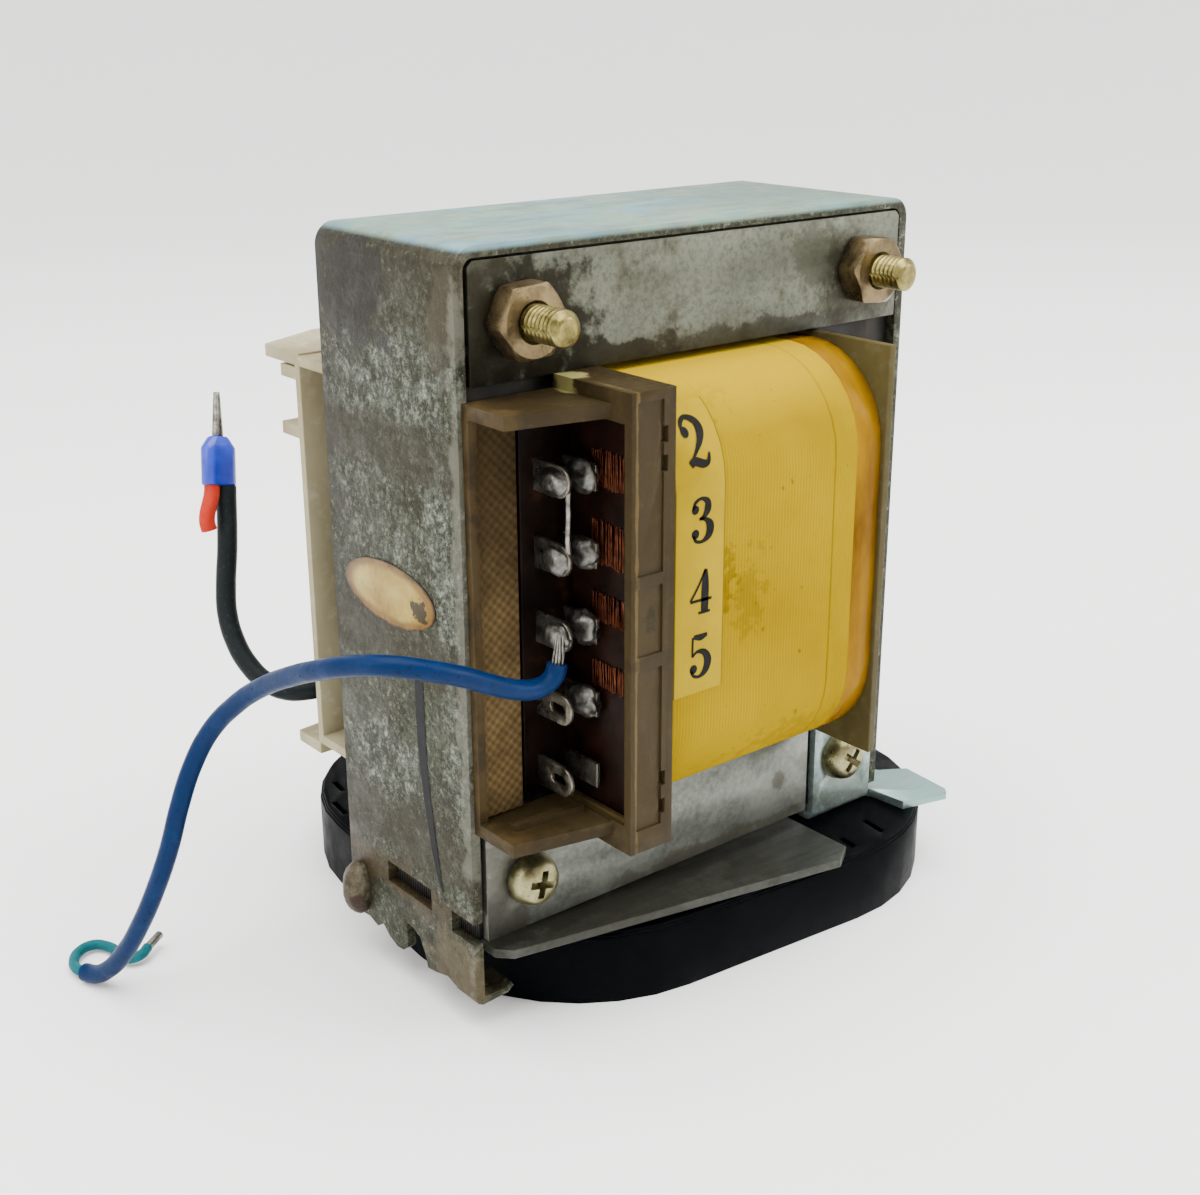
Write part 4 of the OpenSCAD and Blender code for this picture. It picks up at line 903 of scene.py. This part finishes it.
def hex_nut(shape, x, z, y_near, y_far, across_flats, bore, twist):
    """A hexagon nut as rings round its axis: bore, countersink, flat face, turned chamfer, six flats."""
    one = bmesh.new()
    depth, flat = y_far - y_near, across_flats / 2
    rings, around = [], 96
    for kind in range(10):
        ring = []
        for step in range(around):
            angle = 2 * math.pi * step / around
            off = (angle + math.pi / 6) % (math.pi / 3) - math.pi / 6
            hexed = min(flat / math.cos(off), flat / math.cos(math.pi / 6) - 0.12)
            back = max(hexed - flat * 0.97, 0) * 0.62
            r, y = [(bore / 2, 0.45), (bore / 2 + 0.42, 0.0), (flat * 0.97, 0.0), (hexed - 0.02, back),
                    (hexed, back + 0.05),
                    (hexed, depth - back - 0.05), (hexed - 0.02, depth - back), (flat * 0.97, depth),
                    (bore / 2 + 0.42, depth), (bore / 2, depth - 0.45)][kind]
            turn = angle + math.radians(twist)
            ring.append(one.verts.new((x + r * math.cos(turn), y_near + y, z + r * math.sin(turn))))
        rings.append(ring)
    for near, far in zip(rings, rings[1:] + rings[:1]):
        for step in range(around):
            after = (step + 1) % around
            one.faces.new((near[step], near[after], far[after], far[step]))
    spare = bpy.data.meshes.new("one_nut")
    one.to_mesh(spare)
    one.free()
    shape.from_mesh(spare)
    bpy.data.meshes.remove(spare)


nuts = bmesh.new()
hex_nut(nuts, -32, 102.5, -20.5, -16.5, 9.4, 4.8, 34)
hex_nut(nuts, 32, 102.5, -20.5, -16.5, 9.4, 4.8, 26)
bmesh.ops.recalc_face_normals(nuts, faces=nuts.faces)
bmesh.ops.scale(nuts, verts=nuts.verts, vec=(0.001, 0.001, 0.001))
for edge in nuts.edges:
    edge.smooth = not (len(edge.link_faces) == 2 and edge.calc_face_angle(0) > 0.4)
for face in nuts.faces:
    face.smooth = True
carried("top_hex_nuts", nuts, nut_bronze, "yellow_passivated", "top_nuts")
rounded_off("lower_hex_nuts", "bottom_nuts", nut_bronze, 0.0002)

screws = bmesh.new()
for hole, twist in ((-32, 14), (32, 38)):
    one = bmesh.new()
    turned(one, [(0, -20.08), (1.6, -20.04), (2.7, -19.85), (3.3, -19.35), (3.7, -18.5), (3.93, -17.5), (3.93, -16.8),
                 (3.7, -16.5), (2, -16.5), (2, 21.9), (0, 21.9)], hole, 22.5, 44)
    bmesh.ops.recalc_face_normals(one, faces=one.faces)
    solid = bpy.data.meshes.new("one_screw")
    for face in one.faces:
        face.smooth = True
    one.to_mesh(solid)
    one.free()
    body = bpy.data.objects.new("one_screw", solid)
    bpy.context.scene.collection.objects.link(body)
    # Cross recess: four tapered wings sunk in the crown
    for quarter in (0, 90):
        wing = bmesh.new()
        bmesh.ops.create_cube(wing, size=1)
        for vert in wing.verts:
            deep = vert.co.y > 0
            across, thick = (2.2, 0.7) if deep else (5.0, 1.25)
            vert.co = Vector((vert.co.x * across, -18.2 if deep else -20.6, vert.co.z * thick))
        bmesh.ops.rotate(wing, verts=wing.verts, cent=(0, 0, 0),
                         matrix=Matrix.Rotation(math.radians(quarter + twist), 3, "Y"))
        bmesh.ops.translate(wing, verts=wing.verts, vec=(hole, 0, 22.5))
        bmesh.ops.recalc_face_normals(wing, faces=wing.faces)
        cutter_mesh = bpy.data.meshes.new("wing")
        wing.to_mesh(cutter_mesh)
        wing.free()
        cutter = bpy.data.objects.new("wing", cutter_mesh)
        bpy.context.scene.collection.objects.link(cutter)
        cut = body.modifiers.new("recess", "BOOLEAN")
        cut.operation, cut.solver, cut.object = "DIFFERENCE", "EXACT", cutter
        bpy.context.view_layer.update()
        cut_mesh = bpy.data.meshes.new_from_object(body.evaluated_get(bpy.context.evaluated_depsgraph_get()))
        body.modifiers.clear()
        body.data = cut_mesh
        bpy.data.objects.remove(cutter)
    screws.from_mesh(body.data)
    bpy.data.objects.remove(body)
bmesh.ops.scale(screws, verts=screws.verts, vec=(0.001, 0.001, 0.001))
for edge in screws.edges:
    edge.smooth = not (len(edge.link_faces) == 2 and edge.calc_face_angle(0) > 0.6)
carried("lower_pan_screws", screws, screw_gold, "yellow_passivated", "bottom_screws")

# ---- Terminal shrouds ----
# Smoky brown mouldings at the coil's left end, front and back, finished opaque. The front one has a
# stiff bar across its open side, with sunk panels and small ribs; the back one is paler and yellowed.
# The bar's left side is painted bright amber for light shining through it, and painted shadows band
# the bar at its two cross ribs.
shroud_plastic = smoky_finish("smoky_shroud_plastic", (0.0336, 0.0232, 0.0092), (0.0157, 0.0103, 0.0041), 0.36, 0.0,
                              (0.0476, 0.0351, 0.0156), [
    ((-41, -24, 60), (3, 9, 40), (0.075, 0.048, 0.016), 0.35, 0.9),
    ((-38, -31, 82), (8, 6, 9), (0.0437, 0.0313, 0.0147), 0.55, 0.9),
    ((-38, -31, 63), (8, 6, 4), (0.0459, 0.0335, 0.0166), 0.55, 0.9),
    ((-38, -31, 46), (8, 6, 10), (0.0504, 0.0389, 0.0193), 0.55, 0.9),
    # painted light: the bar's left side face coloured bright amber, as it shows with light through it
    ((-25.4, -30, 62), (0.4, 9, 40), (0.115, 0.078, 0.024), 0.55, 0.5),
    ((-25.3, -19, 93.5), (2.2, 2.6, 3), (0.28, 0.25, 0.09), 0.8, 0.5),
    # painted shadow: two dark bands across the bar at its cross ribs, from the shelves behind
    ((-21, -32, 69.6), (9, 3, 1.1), (0.022, 0.015, 0.007), 0.6, 0.4),
    ((-21, -32, 58.0), (9, 3, 1.1), (0.022, 0.015, 0.007), 0.6, 0.4),
    ((-22.4, -33, 64.8), (1.6, 3, 2.0), (0.012, 0.010, 0.004), 0.7, 1.2),
    ((-33, -25, 30.5), (12, 9, 3.2), (0.016, 0.010, 0.003), 0.55, 0.8),
])
rounded_off("front_terminal_shroud", "front_shroud", shroud_plastic, 0.00025)
yellowed = smoky_finish("yellowed_shroud_plastic", (0.378, 0.3413, 0.2152), (0.21, 0.1785, 0.0998), 0.4, 0.0,
                        (0.42, 0.399, 0.2835), [
    ((-36, 20, 100), (20, 12, 12), (0.252, 0.21, 0.1155), 0.5, 0.9),
])
rounded_off("back_terminal_shroud", "back_shroud", yellowed, 0.00025)

# ---- Terminal board and cloth strip ----
# Red-brown resin board that carries the lugs, and a woven cream tape beside it that has browned and is painted darker
# towards its top for shade.
board_resin, tree, shader = pigment("terminal_board_resin", (0.0066, 0.0028, 0.0017), 0.42, Specular_IOR_Level=0.05)
tree.links.new(graded(tree, mottle(tree, 200, 6), [(0.32, (0.0019, 0.0009, 0.0006)), (0.6, (0.006, 0.0028, 0.0015)),
                                                  (0.78, (0.0248, 0.0099, 0.005))]), shader.inputs["Base Color"])
raised(tree, shader, mottle(tree, 500, 4), 0.0001, 0.5)
rounded_off("resin_board", "front_board", board_resin, 0.0002)

weave_cloth, tree, shader = pigment("woven_cloth_tape", (0.1, 0.07, 0.03), 0.9, Specular_IOR_Level=0.1)
place = tree.nodes.new("ShaderNodeTexCoord")
apart = tree.nodes.new("ShaderNodeSeparateXYZ")
tree.links.new(place.outputs["Object"], apart.inputs[0])
warp = reckoned(tree, "SINE", reckoned(tree, "MULTIPLY", apart.outputs["X"], 2 * math.pi / 0.0015))
weft = reckoned(tree, "SINE", reckoned(tree, "MULTIPLY", apart.outputs["Z"], 2 * math.pi / 0.0015))
knit = reckoned(tree, "ADD", reckoned(tree, "MULTIPLY", reckoned(tree, "MULTIPLY", warp, weft), 0.5), 0.5)
thread = graded(tree, knit, [(0.0, (0.062, 0.038, 0.014)), (0.9, (0.118, 0.079, 0.032))])
soil = graded(tree, mottle(tree, 120, 6, 0.7), [(0.45, 0.0), (0.72, 0.7)])
soiled_and_shaded = layered(tree, soil, thread, (0.020, 0.011, 0.004))
# Painted shade: the upper part of the strip is coloured darker
painted_top_shade = patch(tree, (-37, -18, 92), (12, 14, 25), 0.25, 160, 1.0)
soiled_and_shaded = layered(tree, reckoned(tree, "MULTIPLY", painted_top_shade, 0.8), soiled_and_shaded, (0.017, 0.010, 0.003))
tree.links.new(soiled_and_shaded, shader.inputs["Base Color"])
raised(tree, shader, knit, 0.0003, 0.5)
rounded_off("woven_tape", "cloth_strip", weave_cloth, 0.0004)

# ---- Lugs, tags and solder ----
# Tinned brass lugs with an eye each stand in a row on the board; an inner row of plain tags takes the
# winding ends. Solder lies on them in dull uneven lumps.
lug_tin, tree, shader = pigment("tinned_lug", (0.496, 0.4758, 0.4176), 0.34, 0.95)
lug_tone = graded(tree, mottle(tree, 380, 6, 0.65), [(0.34, (0.056, 0.0468, 0.0324)), (0.56, (0.192, 0.1794, 0.144)),
                                                     (0.75, (0.336, 0.3198, 0.2664))])
tree.links.new(lug_tone, shader.inputs["Base Color"])
tree.links.new(graded(tree, mottle(tree, 600, 4), [(0.3, 0.24), (0.7, 0.48)]), shader.inputs["Roughness"])
raised(tree, shader, mottle(tree, 900, 4), 0.00008, 0.5)
rounded_off("front_solder_lugs", "front_lugs", lug_tin, 0.00008)
rounded_off("rear_solder_lugs", "back_lugs", lug_tin, 0.00008)
rounded_off("winding_end_tags", "front_winding_tags", lug_tin, 0.00008)

solder_grey, tree, shader = pigment("dull_solder", (0.37, 0.36, 0.34), 0.36, 0.95)
solder_tone = graded(tree, mottle(tree, 500, 6, 0.7),
                     [(0.34, (0.037, 0.0331, 0.0272)), (0.55, (0.148, 0.144, 0.1292)),
                      (0.72, (0.3108, 0.3024, 0.2788))])
tree.links.new(solder_tone, shader.inputs["Base Color"])
raised(tree, shader, mottle(tree, 1100, 5, 0.7), 0.00018, 0.8)
lumps = bmesh.new()
for seed, (x, y, z, sx, sy, sz) in enumerate([
    (-25.6, -21.6, 49.8, 1.5, 2.9, 2.3), (-25.6, -21.6, 60.5, 1.5, 2.9, 2.5), (-25.6, -21.6, 71.2, 1.5, 2.9, 2.3),
    (-25.6, -21.6, 81.9, 1.5, 2.9, 2.4),
    (-30.5, -22.0, 60.6, 1.5, 2.6, 2.0), (-30.4, -21.6, 71.0, 1.2, 2.6, 1.9), (-30.4, -21.4, 81.7, 1.2, 2.8, 1.9),
]):
    one = bmesh.new()
    bmesh.ops.create_icosphere(one, subdivisions=4, radius=1)
    for vert in one.verts:
        swell = 1 + 0.16 * noise.noise(vert.co * 1.6 + Vector((seed * 7, 0, 0))) + 0.05 * noise.noise(vert.co * 5)
        vert.co = Vector((vert.co.x * sx, vert.co.y * sy, vert.co.z * sz)) * swell + Vector((x, y, z))
    for face in one.faces:
        face.smooth = True
    spare = bpy.data.meshes.new("one_lump")
    one.to_mesh(spare)
    one.free()
    lumps.from_mesh(spare)
    bpy.data.meshes.remove(spare)
bmesh.ops.scale(lumps, verts=lumps.verts, vec=(0.001, 0.001, 0.001))
carried("solder_lumps", lumps, solder_grey, "solder", "solder_joints")


# ---- Jumper and winding ends ----
# A bare tinned wire joins the two upper lugs. The winding's many fine enamelled ends come out in
# flat bunches to the inner tags.
wires("bare_jumper", [[(-30.0, -21.2, 83.4), (-29.9, -23.4, 82.6), (-29.8, -23.8, 79), (-29.9, -23.7, 74.5),
                       (-29.9, -23.6, 71.4), (-30.1, -22.4, 70.4), (-30.6, -22.8, 71.2)]],
      0.0008, tinned, ["jumper_wire"], 4)
fray = random.Random(11)
bunches = []
for low_z, high_z in ((51.6, 55.9), (61.3, 65.8), (69.4, 76.1), (80.1, 85.7)):
    for k in range(18):
        y = -28.1 + k * 0.37
        lean, side = fray.uniform(-0.35, 0.35), fray.uniform(-0.06, 0.06)
        bunches.append([(-24.1 + side, y, low_z + fray.uniform(0.1, 0.5)),
                        (-24.1 - side, y + 0.5 * lean, (low_z + high_z) / 2),
                        (-24.1 + side, max(min(y + lean, -21.8), -28.2), high_z - fray.uniform(0.1, 0.6))])
wires("winding_end_bunches", bunches, 0.00034, copper_turns, ["winding_tails"], 1)
